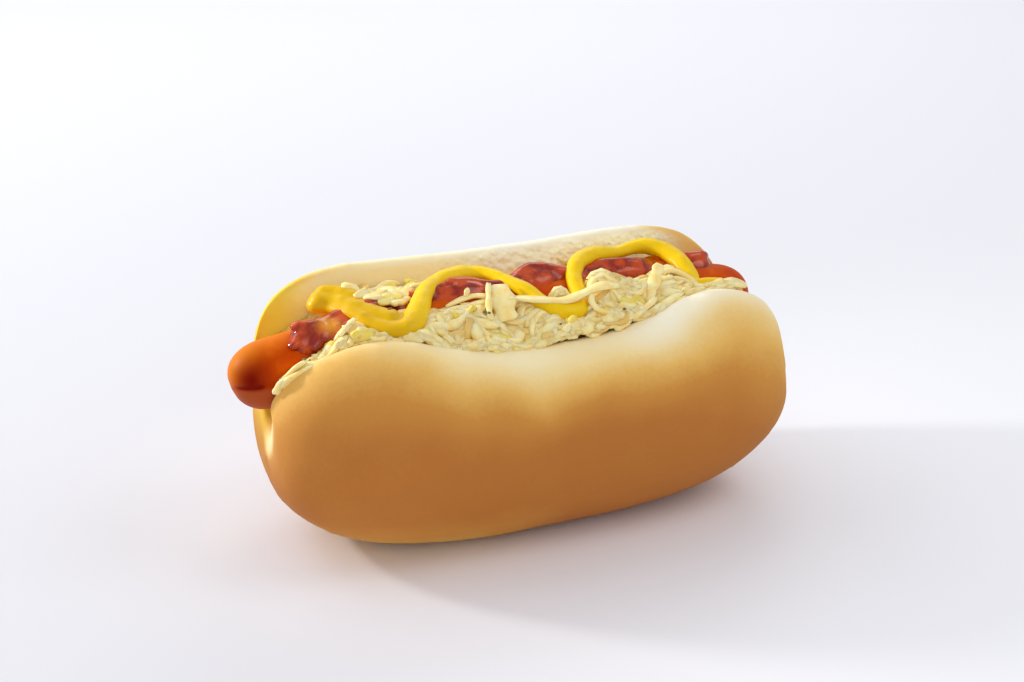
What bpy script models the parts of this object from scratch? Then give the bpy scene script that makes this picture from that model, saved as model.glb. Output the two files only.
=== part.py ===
"""A hot dog: a soft roll, cut along its length and stood on the uncut edge, filled with a frankfurter,
sauerkraut, a ridge of ketchup and a zigzag of mustard.

Units are metres. X runs along the roll, the lower half of the roll is at -Y and the taller half at +Y,
and Z is up. The origin is on the floor, under the middle of the roll. Where a value or a function has a
side, it is -1 for the lower front half and 1 for the taller back half.
"""

import math
import random

import bmesh
import bpy
from mathutils import Vector

# Roll
ROLL_HALF_LENGTH = 0.0760
ROLL_HALF_WIDTH = 0.0385
WAIST_HEIGHT = 0.031  # the height where the roll is widest
UNDERSIDE_DEPTH = 0.0355  # how far the oval would reach below its waist; the floor flattens it
OVAL_POWER = 2.4  # of the cross-section, where 2 is an ellipse
PLAN_POWER = 3.5  # how square the ends are, seen from above
TOP_POWER = {-1: 3.3, 1: 4.6}  # how square the ends are at the top, seen from the side
UNDERSIDE_POWER = 2.6
CREST_ANGLE = {-1: 66, 1: 62}  # where a half's rim lies on the oval, in degrees above the waist
CREST_HEIGHT = {-1: 0.0652, 1: 0.0724}
CREST_DIP = {-1: 0.0104, 1: 0.0026}  # how far the rims sag in the middle
DIP_HALF_LENGTH = {-1: 0.038, 1: 0.042}
FRONT_PUSH = 0.0030  # how far the filling presses the sagging front rim out
BACK_SETBACK = {-1: 0.0040, 1: 0.0085}  # how much shorter the back half is at its left and right end
SLOT_FLOOR_HEIGHT = 0.0280
SLOT_HALF_GAP = {-1: 0.0150, 1: 0.0175}  # at the rims
SLOT_RIM_DROP = 0.003  # from the crest to the edge of the cut
SLOT_WALL_POWER = 0.9  # under 1 the cut faces belly out a little
SLOT_END_POWER = 0.5  # how slowly the slot narrows towards the ends, against the roll itself
CREASE_DEPTH = 0.0042  # of the fold across the right end
CREASE_HALF_WIDTH = 0.0035
CREASE_CENTRE = (-0.016, 0.0374)  # (y, z)
CREASE_SLOPE = 0.35
CREASE_HALF_LENGTH = 0.016
CREASE_FROM = 0.75  # share of the half-length where the fold begins
LOWEST_ANGLE = -84  # of the crust's points, just short of the middle of the underside
STATIONS = 20
STATION_SPREAD = 84  # degrees; the nearer to 90, the closer the stations crowd at the ends
SIDE_POINTS = 7  # of the cross-section's outer face, on each half
LAST_STATION = 0.985  # share of the half-length that is lofted; a cap closes the rest
BACK_BLEND = 0.012  # the width over which the front half's length turns into the back half's

# Frankfurter
SAUSAGE_RADIUS = 0.0090
SAUSAGE_LEFT, SAUSAGE_RIGHT = -0.0812, 0.0705
SAUSAGE_TOP_OF_BOW = 0.0540  # height of its axis in the middle
SAUSAGE_BOW = 0.0062  # how much lower the axis is at the ends
SAUSAGE_DROOP = 0.0022  # how much further the left tip hangs
DROOP_FROM, DROOP_LENGTH = -0.066, 0.019
SAUSAGE_SWAY, SWAY_LENGTH = 0.0012, 0.030  # sideways
SAUSAGE_END = 1.15  # length of a rounded end, against the radius
SAUSAGE_TIP = 0.16  # radius of the flat tip, against the radius
SAUSAGE_SIDES = 18
SAUSAGE_STEPS = 20  # along the straight stretch
SAUSAGE_END_STEPS = 6

# Sauces, which lie on the frankfurter and are one solid with it
KETCHUP_RADIUS = 0.0053
KETCHUP_LEFT, KETCHUP_RIGHT = -0.0660, 0.0600
KETCHUP_SINK = 0.0032  # how far its axis lies under the frankfurter's top
KETCHUP_OFFSET = 0.0018  # towards the roll's back half
KETCHUP_WANDER, WANDER_LENGTH = 0.0012, 0.0065  # sideways
KETCHUP_RIPPLE, RIPPLE_LENGTH = 0.0010, 0.0040  # up and down
BLOB_AT, BLOB_HALF_LENGTH = -0.060, 0.009  # the swelling at the left end
BLOB_FORWARD, BLOB_LIFT, BLOB_SWELL = 0.0040, 0.0006, 0.12
KETCHUP_STEPS = 26
KETCHUP_SIDES = 10
KETCHUP_END = 0.0045  # the length over which each end rounds off
MUSTARD_RADIUS = 0.0024
MUSTARD_SIDES = 8
MUSTARD_STEPS = 2  # between one point of its path and the next
MUSTARD_UNEVEN, UNEVEN_LENGTH = 0.14, 0.0033  # its thickness comes and goes
SPREAD_AT, SPREAD_HALF_LENGTH, SPREAD_SWELL = -0.045, 0.012, 0.30
MUSTARD_END = (0.6, 0.88, 1.0)  # share of the radius at the ends and at the next points
# The path of the mustard's axis from left to right: over the frankfurter, down to the sauerkraut in front
# of it at -Y, and up against the roll's back half at +Y.
MUSTARD_PATH = (
    (-0.0575, 0.0085, 0.0628),
    (-0.0520, 0.0050, 0.0626),
    (-0.0484, -0.0030, 0.0622),
    (-0.0440, -0.0075, 0.0599),
    (-0.0400, -0.0092, 0.0580),
    (-0.0354, -0.0090, 0.0588),
    (-0.0308, -0.0050, 0.0624),
    (-0.0270, 0.0000, 0.0644),
    (-0.0212, 0.0055, 0.0650),
    (-0.0127, 0.0080, 0.0650),
    (-0.0070, 0.0045, 0.0650),
    (-0.0023, -0.0045, 0.0636),
    (0.0020, -0.0095, 0.0605),
    (0.0080, -0.0105, 0.0590),
    (0.0120, -0.0080, 0.0602),
    (0.0145, -0.0025, 0.0632),
    (0.0184, 0.0030, 0.0654),
    (0.0245, 0.0070, 0.0654),
    (0.0330, 0.0090, 0.0646),
    (0.0420, 0.0095, 0.0654),
    (0.0470, 0.0060, 0.0642),
    (0.0488, 0.0005, 0.0624),
    (0.0489, -0.0045, 0.0600),
    (0.0470, -0.0085, 0.0572),
)

# Sauerkraut
HEAP_LEFT, HEAP_RIGHT = -0.0690, 0.0660
HEAP_BOTTOM = 0.0340
HEAP_INSET = 0.0009  # from the roll's cut faces to the core
HEAP_FRONT_HEIGHT = 0.0612
HEAP_BACK_HEIGHT = {"left": 0.0592, "right": 0.0552}
BACK_STEP_AT, BACK_STEP_LENGTH = -0.012, 0.004  # where the back falls from its left to its right height
FRONT_EDGE, BACK_EDGE = -0.004, 0.006  # the frankfurter's sides, between which the height is blended
FRONT_SLOPE_FROM, FRONT_SLOPE = -0.010, 0.60  # down to the front rim
HEAP_WAVES = {"front": ((0.0014, 0.0085, 0), (0.0010, 0.0031, 1)), "back": ((0.0012, 0.0110, 2),)}
HEAP_MIDDLE, HEAP_LEVEL, HEAP_END, HEAP_END_DROP = -0.002, 0.050, 0.018, 0.0072
HEAP_STATIONS = 22
HEAP_POINTS = 8  # across its top
SHRED_COUNT = 51
SHRED_X = {-1: (-0.064, 0.068), 1: (-0.060, 0.002)}  # where the shreds' middles lie, on each side
SHRED_Y = {-1: (-0.0175, -0.0070), 1: (0.0080, 0.0130)}
SHRED_Y_LIMITS = (-0.0205, 0.0150)
SHRED_WIDTH = (0.0016, 0.0034)
SHRED_THICKNESS = 0.0010
SHRED_LENGTH = (0.013, 0.026)
SHRED_SEGMENTS = 4
SHRED_HUMP = (0.0016, 0.0042)  # how high the middle of a shred bows up
SHRED_SINK = 0.0012  # how deep its ends lie in the core
SHRED_BEND = 1.3  # radians, at most
SHRED_LEAN = 0.9  # at most, as a slope
SHRED_TURN = 0.75  # radians from the roll's direction, as a spread
SHRED_TAPER = 0.35

CLEARANCE = 0.0004  # between pieces that touch
WELD = 1e-6  # corners closer than this are one


def clear_scene():
    for obj in list(bpy.data.objects):
        bpy.data.objects.remove(obj, do_unlink=True)


def new_collection(name):
    made = bpy.data.collections.new(name)
    bpy.context.scene.collection.children.link(made)
    return made


def new_material(name, colour, roughness):
    made = bpy.data.materials.new(name)
    made.use_nodes = True
    shader = made.node_tree.nodes["Principled BSDF"]
    shader.inputs["Base Color"].default_value = (*colour, 1.0)
    shader.inputs["Roughness"].default_value = roughness
    shader.inputs["Metallic"].default_value = 0.0
    return made


def new_object(name, mesh, collection):
    obj = bpy.data.objects.new(name, mesh)
    collection.objects.link(obj)
    mesh.shade_smooth()
    return obj


def mesh_of(obj):
    """The object's mesh as the viewport shows it, with a curve's caps welded on. The object is removed."""
    bpy.context.view_layer.update()
    evaluated = obj.evaluated_get(bpy.context.evaluated_depsgraph_get())
    mesh = bpy.data.meshes.new_from_object(evaluated)
    mesh.transform(obj.matrix_world)
    bpy.data.objects.remove(obj)
    made = bmesh.new()
    made.from_mesh(mesh)
    bmesh.ops.remove_doubles(made, verts=made.verts, dist=WELD)
    bmesh.ops.recalc_face_normals(made, faces=made.faces)
    made.to_mesh(mesh)
    made.free()
    return mesh


def mesh_from(cage, name):
    """The cage as a mesh with its faces pointing out. The cage is freed."""
    bmesh.ops.recalc_face_normals(cage, faces=cage.faces)
    mesh = bpy.data.meshes.new(name)
    cage.to_mesh(mesh)
    cage.free()
    return mesh


def loft(cage, rings):
    """Joins each ring of corners to the next one."""
    count = len(rings[0])
    for ring, following in zip(rings, rings[1:]):
        for i in range(count):
            j = (i + 1) % count
            cage.faces.new((ring[i], ring[j], following[j], following[i]))


def bump(x, centre, half_length, power=2):
    """A smooth hump along x: 1 at its centre, falling to 0 past its half-length."""
    return math.exp(-(abs((x - centre) / half_length) ** power))


def keep_largest_piece(mesh):
    """Drops what a Boolean left apart from the rest: loose scraps, and the walls of hollows it sealed."""
    made = bmesh.new()
    made.from_mesh(mesh)
    unseen, pieces = set(made.faces), []
    while unseen:
        piece, waiting = set(), [unseen.pop()]
        while waiting:
            face = waiting.pop()
            piece.add(face)
            neighbours = {other for edge in face.edges for other in edge.link_faces} & unseen
            unseen -= neighbours
            waiting += neighbours
        pieces.append(piece)
    pieces.sort(key=len)
    for piece in pieces[:-1]:
        bmesh.ops.delete(made, geom=list(piece), context="FACES")
    made.to_mesh(mesh)
    made.free()


def boolean(obj, collection, operation):
    """Joins the collection's objects to obj, or cuts them from it, and removes them."""
    modifier = obj.modifiers.new(operation.title(), "BOOLEAN")
    modifier.operation = operation
    modifier.operand_type = "COLLECTION"
    modifier.collection = collection
    modifier.use_self = True
    name, home = obj.name, obj.users_collection[0]
    mesh = mesh_of(obj)
    keep_largest_piece(mesh)
    for other in list(collection.objects):
        bpy.data.objects.remove(other)
    bpy.data.collections.remove(collection)
    return new_object(name, mesh, home)


def smooth_path(points, steps):
    """A Catmull-Rom curve through the points, with this many steps from each to the next."""
    points = [Vector(p) for p in points]
    ends = [2 * points[0] - points[1], *points, 2 * points[-1] - points[-2]]
    path = []
    for a, b, c, d in zip(ends, ends[1:], ends[2:], ends[3:]):
        for step in range(steps):
            t = step / steps
            square = (2 * a - 5 * b + 4 * c - d) * t**2
            cube = (3 * b - a - 3 * c + d) * t**3
            path.append((2 * b + (c - a) * t + square + cube) / 2)
    return [*path, points[-1]]


def tube(name, path, radii, sides, collection):
    """A closed tube along the path, with a radius for each of its points, as a mesh object."""
    curve = bpy.data.curves.new(name, "CURVE")
    curve.dimensions = "3D"
    curve.bevel_depth = 1.0
    curve.bevel_resolution = sides // 2 - 2
    curve.use_fill_caps = True
    spline = curve.splines.new("POLY")
    spline.points.add(len(path) - 1)
    for point, place, radius in zip(spline.points, path, radii):
        point.co = (*place, 1.0)
        point.radius = radius
    obj = bpy.data.objects.new(name, curve)
    bpy.context.scene.collection.objects.link(obj)
    return new_object(name, mesh_of(obj), collection)


def end_taper(share, power):
    """How much of its size a rounded bar keeps at this share of its half-length."""
    return max(0.0, 1 - abs(share) ** power) ** (1 / power)


def dip(side, x):
    """How strongly a half's rim sags at x, from 0 to 1."""
    return bump(x, 0, DIP_HALF_LENGTH[side], power=4)


def crest_height(side, x):
    """Height of a half's rim at x."""
    middle = CREST_HEIGHT[side] - CREST_DIP[side] * dip(side, x)
    return WAIST_HEIGHT + (middle - WAIST_HEIGHT) * end_taper(x / ROLL_HALF_LENGTH, TOP_POWER[side])


def outer_point(side, angle, x):
    """A point of the roll's crust on one half, at this many degrees above the waist."""
    share = x / ROLL_HALF_LENGTH
    cosine, sine = math.cos(math.radians(angle)), math.sin(math.radians(angle))
    y = side * ROLL_HALF_WIDTH * end_taper(share, PLAN_POWER) * cosine ** (2 / OVAL_POWER)
    rise = abs(sine) ** (2 / OVAL_POWER)
    if sine < 0:
        z = WAIST_HEIGHT - UNDERSIDE_DEPTH * end_taper(share, UNDERSIDE_POWER) * rise
        return Vector((x, y, max(0.0, z)))
    crest = math.sin(math.radians(CREST_ANGLE[side])) ** (2 / OVAL_POWER)
    if side < 0:
        y -= FRONT_PUSH * dip(side, x) * rise
    return Vector((x, y, WAIST_HEIGHT + (crest_height(side, x) - WAIST_HEIGHT) * rise / crest))


def slot_point(side, depth, x):
    """A point of the cut face on one half, at this share of the way from the rim to the slot's floor."""
    rim = crest_height(side, x) - SLOT_RIM_DROP
    gap = SLOT_HALF_GAP[side] * end_taper(x / ROLL_HALF_LENGTH, PLAN_POWER) ** SLOT_END_POWER
    y = side * gap * (1 - depth) ** SLOT_WALL_POWER
    if side < 0:
        y -= FRONT_PUSH * dip(side, x) * (1 - depth)
    return Vector((x, y, SLOT_FLOOR_HEIGHT + (rim - SLOT_FLOOR_HEIGHT) * (1 - depth)))


def roll_ring(x):
    """The roll's cross-section at x: down the front crust, up the back crust, and through the slot."""
    crust = []
    for side in (-1, 1):
        turn = (CREST_ANGLE[side] - LOWEST_ANGLE) / (SIDE_POINTS - 1)
        points = [outer_point(side, CREST_ANGLE[side] - turn * i, x) for i in range(SIDE_POINTS)]
        crust += points if side < 0 else reversed(points)
    depths = [(i + 0.4) / SIDE_POINTS for i in range(SIDE_POINTS - 1)]
    slot = [slot_point(1, d, x) for d in depths] + [slot_point(-1, d, x) for d in reversed(depths)]
    return crust + slot


def end_crease(place):
    """The fold that the dough left across the roll's right end, as a push along X."""
    centre_y, centre_z = CREASE_CENTRE
    near = max(0.0, place.x / ROLL_HALF_LENGTH - CREASE_FROM) / (1 - CREASE_FROM)
    across = bump(place.z, centre_z + CREASE_SLOPE * (place.y - centre_y), CREASE_HALF_WIDTH)
    along = bump(place.y, centre_y, CREASE_HALF_LENGTH, power=4)
    return -CREASE_DEPTH * near * across * along


def end_setback(place):
    """How far the back half's ends stand back from those of the front half, as a push along X."""
    share = place.x / ROLL_HALF_LENGTH
    to_back = 0.5 + 0.5 * math.tanh(place.y / BACK_BLEND)
    return -BACK_SETBACK[1 if share > 0 else -1] * share**3 * to_back


def roll_mesh(name, grow=0.0):
    """The roll as a smooth solid, each face moved out by grow."""
    # stations crowd towards the ends, where the roll turns in
    widest = math.radians(STATION_SPREAD)
    turns = [widest * (2 * i / (STATIONS - 1) - 1) for i in range(STATIONS)]
    stations = [ROLL_HALF_LENGTH * LAST_STATION * math.sin(t) / math.sin(widest) for t in turns]
    cage = bmesh.new()
    rings = [[cage.verts.new(p) for p in roll_ring(x)] for x in stations]
    loft(cage, rings)
    count = len(rings[0])
    for ring in (rings[0], rings[-1]):
        # the cap is a strip from the crust to the slot, point by point
        for i in range(2 * SIDE_POINTS - 1):
            corners = [ring[i], ring[i + 1], ring[(count - i - 1) % count], ring[(count - i) % count]]
            cage.faces.new(list(dict.fromkeys(corners)))
    for vert in cage.verts:
        vert.co.x += end_crease(vert.co) + end_setback(vert.co)
    obj = bpy.data.objects.new(name, mesh_from(cage, name))
    bpy.context.scene.collection.objects.link(obj)
    smooth = obj.modifiers.new("Smooth", "SUBSURF")
    smooth.levels = smooth.render_levels = 1
    mesh = mesh_of(obj)
    if grow:
        fine = bmesh.new()
        fine.from_mesh(mesh)
        fine.normal_update()
        moved = [(v, v.co + v.normal * grow) for v in fine.verts]
        for vert, place in moved:
            vert.co = place
        fine.to_mesh(mesh)
        fine.free()
    return mesh


def sausage_axis(x):
    """The frankfurter's axis, bowed up in the middle and a little drooping at its left tip."""
    middle = (SAUSAGE_LEFT + SAUSAGE_RIGHT) / 2
    share = (x - middle) / ((SAUSAGE_RIGHT - SAUSAGE_LEFT) / 2)
    droop = SAUSAGE_DROOP * max(0.0, (DROOP_FROM - x) / DROOP_LENGTH) ** 2
    y = SAUSAGE_SWAY * math.sin(x / SWAY_LENGTH)
    return Vector((x, y, SAUSAGE_TOP_OF_BOW - SAUSAGE_BOW * share**2 - droop))


def sausage_radius(x):
    """The frankfurter's radius: even along its length, and round at both ends."""
    inside = min(1.0, min(x - SAUSAGE_LEFT, SAUSAGE_RIGHT - x) / (SAUSAGE_END * SAUSAGE_RADIUS))
    return SAUSAGE_RADIUS * max(SAUSAGE_TIP, math.sqrt(max(0.0, 1 - (1 - inside) ** 2)))


def sausage_stations():
    """Places along X, close together where the ends turn in."""
    reach = SAUSAGE_END * SAUSAGE_RADIUS
    quarter = [math.radians(90 * i / SAUSAGE_END_STEPS) for i in range(SAUSAGE_END_STEPS + 1)]
    turned = [reach * (1 - math.cos(turn)) for turn in quarter]
    inner = SAUSAGE_RIGHT - SAUSAGE_LEFT - 2 * reach
    middle = [SAUSAGE_LEFT + reach + inner * i / SAUSAGE_STEPS for i in range(1, SAUSAGE_STEPS)]
    left = [SAUSAGE_LEFT + t for t in turned]
    right = [SAUSAGE_RIGHT - t for t in reversed(turned)]
    return left + middle + right


def sausage_tube(name, collection, grow=0.0):
    xs = sausage_stations()
    path = [sausage_axis(x) for x in xs]
    return tube(name, path, [sausage_radius(x) + grow for x in xs], SAUSAGE_SIDES, collection)


def ketchup_tube(name, collection, grow=0.0):
    """A ridge of ketchup along the frankfurter's top, wandering a little and swelling at its left end."""
    path, radii = [], []
    for i in range(KETCHUP_STEPS + 1):
        x = KETCHUP_LEFT + (KETCHUP_RIGHT - KETCHUP_LEFT) * i / KETCHUP_STEPS
        blob = bump(x, BLOB_AT, BLOB_HALF_LENGTH)
        wander = KETCHUP_OFFSET + KETCHUP_WANDER * math.sin(x / WANDER_LENGTH) - BLOB_FORWARD * blob
        ripple = KETCHUP_RIPPLE * math.sin(x / RIPPLE_LENGTH) + BLOB_LIFT * blob
        path.append(sausage_axis(x) + Vector((0, wander, SAUSAGE_RADIUS - KETCHUP_SINK + ripple)))
        inside = min(1.0, min(x - KETCHUP_LEFT, KETCHUP_RIGHT - x) / KETCHUP_END)
        rounded = max(SAUSAGE_TIP, math.sqrt(1 - (1 - inside) ** 2))
        radii.append(KETCHUP_RADIUS * rounded * (1 + BLOB_SWELL * blob) + grow)
    return tube(name, path, radii, KETCHUP_SIDES, collection)


def mustard_tube(name, collection, grow=0.0):
    """The mustard's zigzag, thicker and thinner along its length and spread widest near its left end."""
    path = smooth_path(MUSTARD_PATH, MUSTARD_STEPS)
    radii = []
    for i, place in enumerate(path):
        spread = SPREAD_SWELL * bump(place.x, SPREAD_AT, SPREAD_HALF_LENGTH)
        swell = 1.0 + MUSTARD_UNEVEN * math.sin(place.x / UNEVEN_LENGTH) + spread
        narrow = MUSTARD_END[min(i, len(path) - 1 - i, len(MUSTARD_END) - 1)]
        radii.append(MUSTARD_RADIUS * swell * narrow + grow)
    return tube(name, path, radii, MUSTARD_SIDES, collection)


def dressed_sausage(name, collection, grow=0.0):
    """The frankfurter with the ketchup and the mustard as one solid."""
    sauces = new_collection(name + "_sauces")
    sausage = sausage_tube(name, collection, grow)
    ketchup_tube(name + "_ketchup", sauces, grow)
    mustard_tube(name + "_mustard", sauces, grow)
    return boolean(sausage, sauces, "UNION")


def heap_height(x, y):
    """Height of the sauerkraut's core: highest beside the frankfurter, low at the rims and at both ends."""
    waves = {part: sum(a * math.sin(x / b + c) for a, b, c in HEAP_WAVES[part]) for part in HEAP_WAVES}
    to_right = 1 / (1 + math.exp(-(x - BACK_STEP_AT) / BACK_STEP_LENGTH))
    left, right = HEAP_BACK_HEIGHT["left"], HEAP_BACK_HEIGHT["right"]
    front = HEAP_FRONT_HEIGHT + waves["front"]
    back = left + (right - left) * to_right + waves["back"]
    share = min(1.0, max(0.0, (y - FRONT_EDGE) / (BACK_EDGE - FRONT_EDGE)))
    to_rim = max(0.0, FRONT_SLOPE_FROM - y) * FRONT_SLOPE
    to_end = max(0.0, abs(x - HEAP_MIDDLE) - HEAP_LEVEL) / HEAP_END
    return front + (back - front) * share - to_rim - HEAP_END_DROP * to_end**2


def heap_edge(side, height, x):
    """Where the core ends at this height, just inside the roll's cut face."""
    rim = crest_height(side, x) - SLOT_RIM_DROP
    depth = 1 - (height - SLOT_FLOOR_HEIGHT) / (rim - SLOT_FLOOR_HEIGHT)
    return slot_point(side, max(0.0, depth), x).y - side * HEAP_INSET


def heap_core(name, collection):
    """The sauerkraut packed round the frankfurter, before the frankfurter is cut from it."""
    cage = bmesh.new()
    rings = []
    for i in range(HEAP_STATIONS):
        x = HEAP_LEFT + (HEAP_RIGHT - HEAP_LEFT) * i / (HEAP_STATIONS - 1)
        front, back = (heap_edge(side, heap_height(x, side * SLOT_HALF_GAP[side]), x) for side in (-1, 1))
        ys = [front + (back - front) * j / (HEAP_POINTS - 1) for j in range(HEAP_POINTS)]
        top = [cage.verts.new((x, y, heap_height(x, y))) for y in ys]
        under = [cage.verts.new((x, heap_edge(side, HEAP_BOTTOM, x), HEAP_BOTTOM)) for side in (1, -1)]
        rings.append(top + under)
    loft(cage, rings)
    cage.faces.new(rings[0])
    cage.faces.new(rings[-1])
    return new_object(name, mesh_from(cage, name), collection)


def shred(name, draw, place, collection):
    """One strip of cabbage: it lies along the heap and curls, and both its ends dip into the core."""
    length = draw.uniform(*SHRED_LENGTH)
    width = draw.uniform(*SHRED_WIDTH)
    heading = draw.gauss(0.0, SHRED_TURN)
    bend = draw.uniform(-SHRED_BEND, SHRED_BEND)
    hump = draw.uniform(*SHRED_HUMP)
    lean = draw.uniform(-SHRED_LEAN, SHRED_LEAN)
    cage = bmesh.new()
    bmesh.ops.create_cube(cage, size=1.0)
    lengthwise = [e for e in cage.edges if abs(e.verts[0].co.x - e.verts[1].co.x) > 0.5]
    bmesh.ops.subdivide_edges(cage, edges=lengthwise, cuts=SHRED_SEGMENTS - 1, use_grid_fill=True)
    for vert in cage.verts:
        # the cube's own x, y and z run along the shred, across it and through it, from -0.5 to 0.5
        along, across, up = vert.co
        angle = heading + bend * along
        chord = heading + bend * along / 2
        x = min(HEAP_RIGHT, place.x + length * along * math.cos(chord))
        y = min(SHRED_Y_LIMITS[1], max(SHRED_Y_LIMITS[0], place.y + length * along * math.sin(chord)))
        z = heap_height(x, y) + hump * (1 - (2 * along) ** 2) - SHRED_SINK
        side = Vector((-math.sin(angle), math.cos(angle), lean)).normalized()
        normal = Vector((math.sin(angle) * lean, -math.cos(angle) * lean, 1.0)).normalized()
        narrow = 1 - SHRED_TAPER * (2 * abs(along)) ** 3
        vert.co = Vector((x, y, z)) + side * across * width * narrow + normal * up * SHRED_THICKNESS
    return new_object(name, mesh_from(cage, name), collection)


def sauerkraut(name, collection):
    """The heap: a core with shreds fused on, cut clear of the roll and of the dressed frankfurter."""
    draw = random.Random(11)
    shreds = new_collection("shreds")
    for i in range(SHRED_COUNT):
        side = 1 if i % 3 == 0 else -1
        left, right = SHRED_X[side]
        x = left + (right - left) * (i + draw.random()) / SHRED_COUNT
        shred(f"shred_{i}", draw, Vector((x, draw.uniform(*SHRED_Y[side]), 0)), shreds)
    heap = boolean(heap_core(name, collection), shreds, "UNION")
    cutters = new_collection("cutters")
    new_object("roll_cutter", roll_mesh("roll_cutter", CLEARANCE), cutters)
    dressed_sausage("sausage_cutter", cutters, CLEARANCE)
    return boolean(heap, cutters, "DIFFERENCE")


def roll(name, collection):
    """The roll, with a bed pressed into the cut wherever the frankfurter touches it."""
    cutters = new_collection("cutters")
    dressed_sausage("bed", cutters, CLEARANCE)
    return boolean(new_object(name, roll_mesh(name), collection), cutters, "DIFFERENCE")


def build():
    clear_scene()
    hot_dog = new_collection("hot_dog")
    made = roll("roll", hot_dog)
    made.data.materials.append(new_material("golden_crust", (0.62, 0.36, 0.13), 0.55))
    made = dressed_sausage("frankfurter", hot_dog)
    made.data.materials.append(new_material("frankfurter_skin", (0.50, 0.09, 0.03), 0.32))
    made = sauerkraut("sauerkraut", hot_dog)
    made.data.materials.append(new_material("sauerkraut", (0.83, 0.74, 0.44), 0.45))


build()
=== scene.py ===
"""The looks of a hot dog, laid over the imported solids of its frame.

Units are metres. X runs along the roll, the lower half of the roll is at -Y and the taller half at +Y,
and Z is up, as in the frame. Where a value or a function has a side, it is -1 for the lower front half and
1 for the taller back half. The forms repeat those of the frame's solids, with finer faces and with the
relief, strips and flecks that are too small for the solids.
"""

import math
import random

import bmesh
import bpy
import numpy as np
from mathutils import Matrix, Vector, noise
from mathutils.bvhtree import BVHTree


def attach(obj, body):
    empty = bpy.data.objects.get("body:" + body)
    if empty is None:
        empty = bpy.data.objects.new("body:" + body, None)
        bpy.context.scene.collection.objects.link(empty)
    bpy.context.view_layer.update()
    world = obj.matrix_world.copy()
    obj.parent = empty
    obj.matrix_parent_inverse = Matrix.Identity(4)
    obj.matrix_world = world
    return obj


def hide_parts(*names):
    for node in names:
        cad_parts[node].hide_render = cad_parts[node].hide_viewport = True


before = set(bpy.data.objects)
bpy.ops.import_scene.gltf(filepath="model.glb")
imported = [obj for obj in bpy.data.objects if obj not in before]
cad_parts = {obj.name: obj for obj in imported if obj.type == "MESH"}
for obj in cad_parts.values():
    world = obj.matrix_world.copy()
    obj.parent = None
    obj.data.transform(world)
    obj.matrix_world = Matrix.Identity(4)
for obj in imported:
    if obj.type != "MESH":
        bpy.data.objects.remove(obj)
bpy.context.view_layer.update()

BODY = "root"

# Camera and light
CAMERA_AZIMUTH, CAMERA_ELEVATION = -25, 20  # degrees; azimuth 0 looks along +Y
CAMERA_DISTANCE = 0.537
CAMERA_TARGET = Vector((-0.0025, 0.0, 0.047))
CAMERA_LENS, CAMERA_SENSOR = 70, 36
CAMERA_CLIP = (0.01, 30)
FLOOR_SIZE, FLOOR_DROP = 8.0, 0.0001
WORLD_COLOUR, WORLD_STRENGTH = (0.965, 0.962, 1.0), 0.6
WARM_WHITE, SOFT_WHITE = (1.0, 0.985, 0.96), (1.0, 0.99, 0.99)
# the key is a small wide spot close behind the left end, aimed past the roll
KEY_PLACE, KEY_TARGET = (-0.26, 0.172, 0.158), (0.16, -0.098, 0.138)
KEY_CONE, KEY_RADIUS, KEY_POWER = 74, 0.022, 4.2
# (name, place, target, size, power in watts, colour)
LIGHTS = (
    ("fill", (0.445, -0.257, 0.64), (0.0, 0.0, 0.03), 0.45, 0.95, WARM_WHITE),
    ("front", (-0.36, -0.76, 0.37), (0.0, 0.0, 0.03), 0.6, 1.15, WARM_WHITE),
    ("left", (-0.45, 0.32, 0.5), (-0.45, 0.32, 0.0), 0.5, 0.95, SOFT_WHITE),
    ("backdrop_left", (-0.2, 0.8, 0.6), (-0.2, 0.8, 0.0), 0.6, 1.65, SOFT_WHITE),
    ("backdrop_right", (0.48, 0.7, 0.65), (0.48, 0.7, 0.0), 0.6, 1.7, SOFT_WHITE),
)

# Roll, as in the frame's solid
ROLL_HALF_LENGTH = 0.076
ROLL_HALF_WIDTH = 0.0385
WAIST_HEIGHT = 0.031
UNDERSIDE_DEPTH = 0.0355
OVAL_POWER = 2.4
PLAN_POWER = 3.5
TOP_POWER = {-1: 3.3, 1: 4.6}
UNDERSIDE_POWER = 2.6
CREST_ANGLE = {-1: 66, 1: 62}
CREST_HEIGHT = {-1: 0.0652, 1: 0.0724}
CREST_DIP = {-1: 0.0104, 1: 0.0026}
DIP_HALF_LENGTH = {-1: 0.038, 1: 0.042}
FRONT_PUSH = 0.003
BACK_SETBACK = {-1: 0.004, 1: 0.0085}
SLOT_FLOOR_HEIGHT = 0.028
SLOT_HALF_GAP = {-1: 0.015, 1: 0.0175}
SLOT_RIM_DROP = 0.003
SLOT_WALL_POWER = 0.9
SLOT_END_POWER = 0.5
CREASE_DEPTH = 0.006
CREASE_HALF_WIDTH = 0.0035
CREASE_CENTRE = (-0.016, 0.0374)
CREASE_SLOPE = 0.35
CREASE_HALF_LENGTH = 0.016
CREASE_FROM = 0.75
LOWEST_ANGLE = -84
STATIONS = 20
STATION_SPREAD = 84
SIDE_POINTS, SLOT_FIRST = 7, 0.4  # points down each side, and how far the slot's first lies from the rim
LAST_STATION = 0.985
BACK_BLEND = 0.012

# Roll, its finish
ROLL_LEVELS = 3  # of subdivision
CUT_CUTS = 3  # further cuts of each edge on the cut faces, for their crumb
CUT_FINE_ABOVE = 0.04  # height above which the cut faces show
# how much of a face, and of a corner's mark, is cut where the mesh is made finer, and rounds of smoothing
CUT_FACE, CUT_CORNER, CUT_SMOOTHING = 0.15, 0.1, 3
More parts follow.
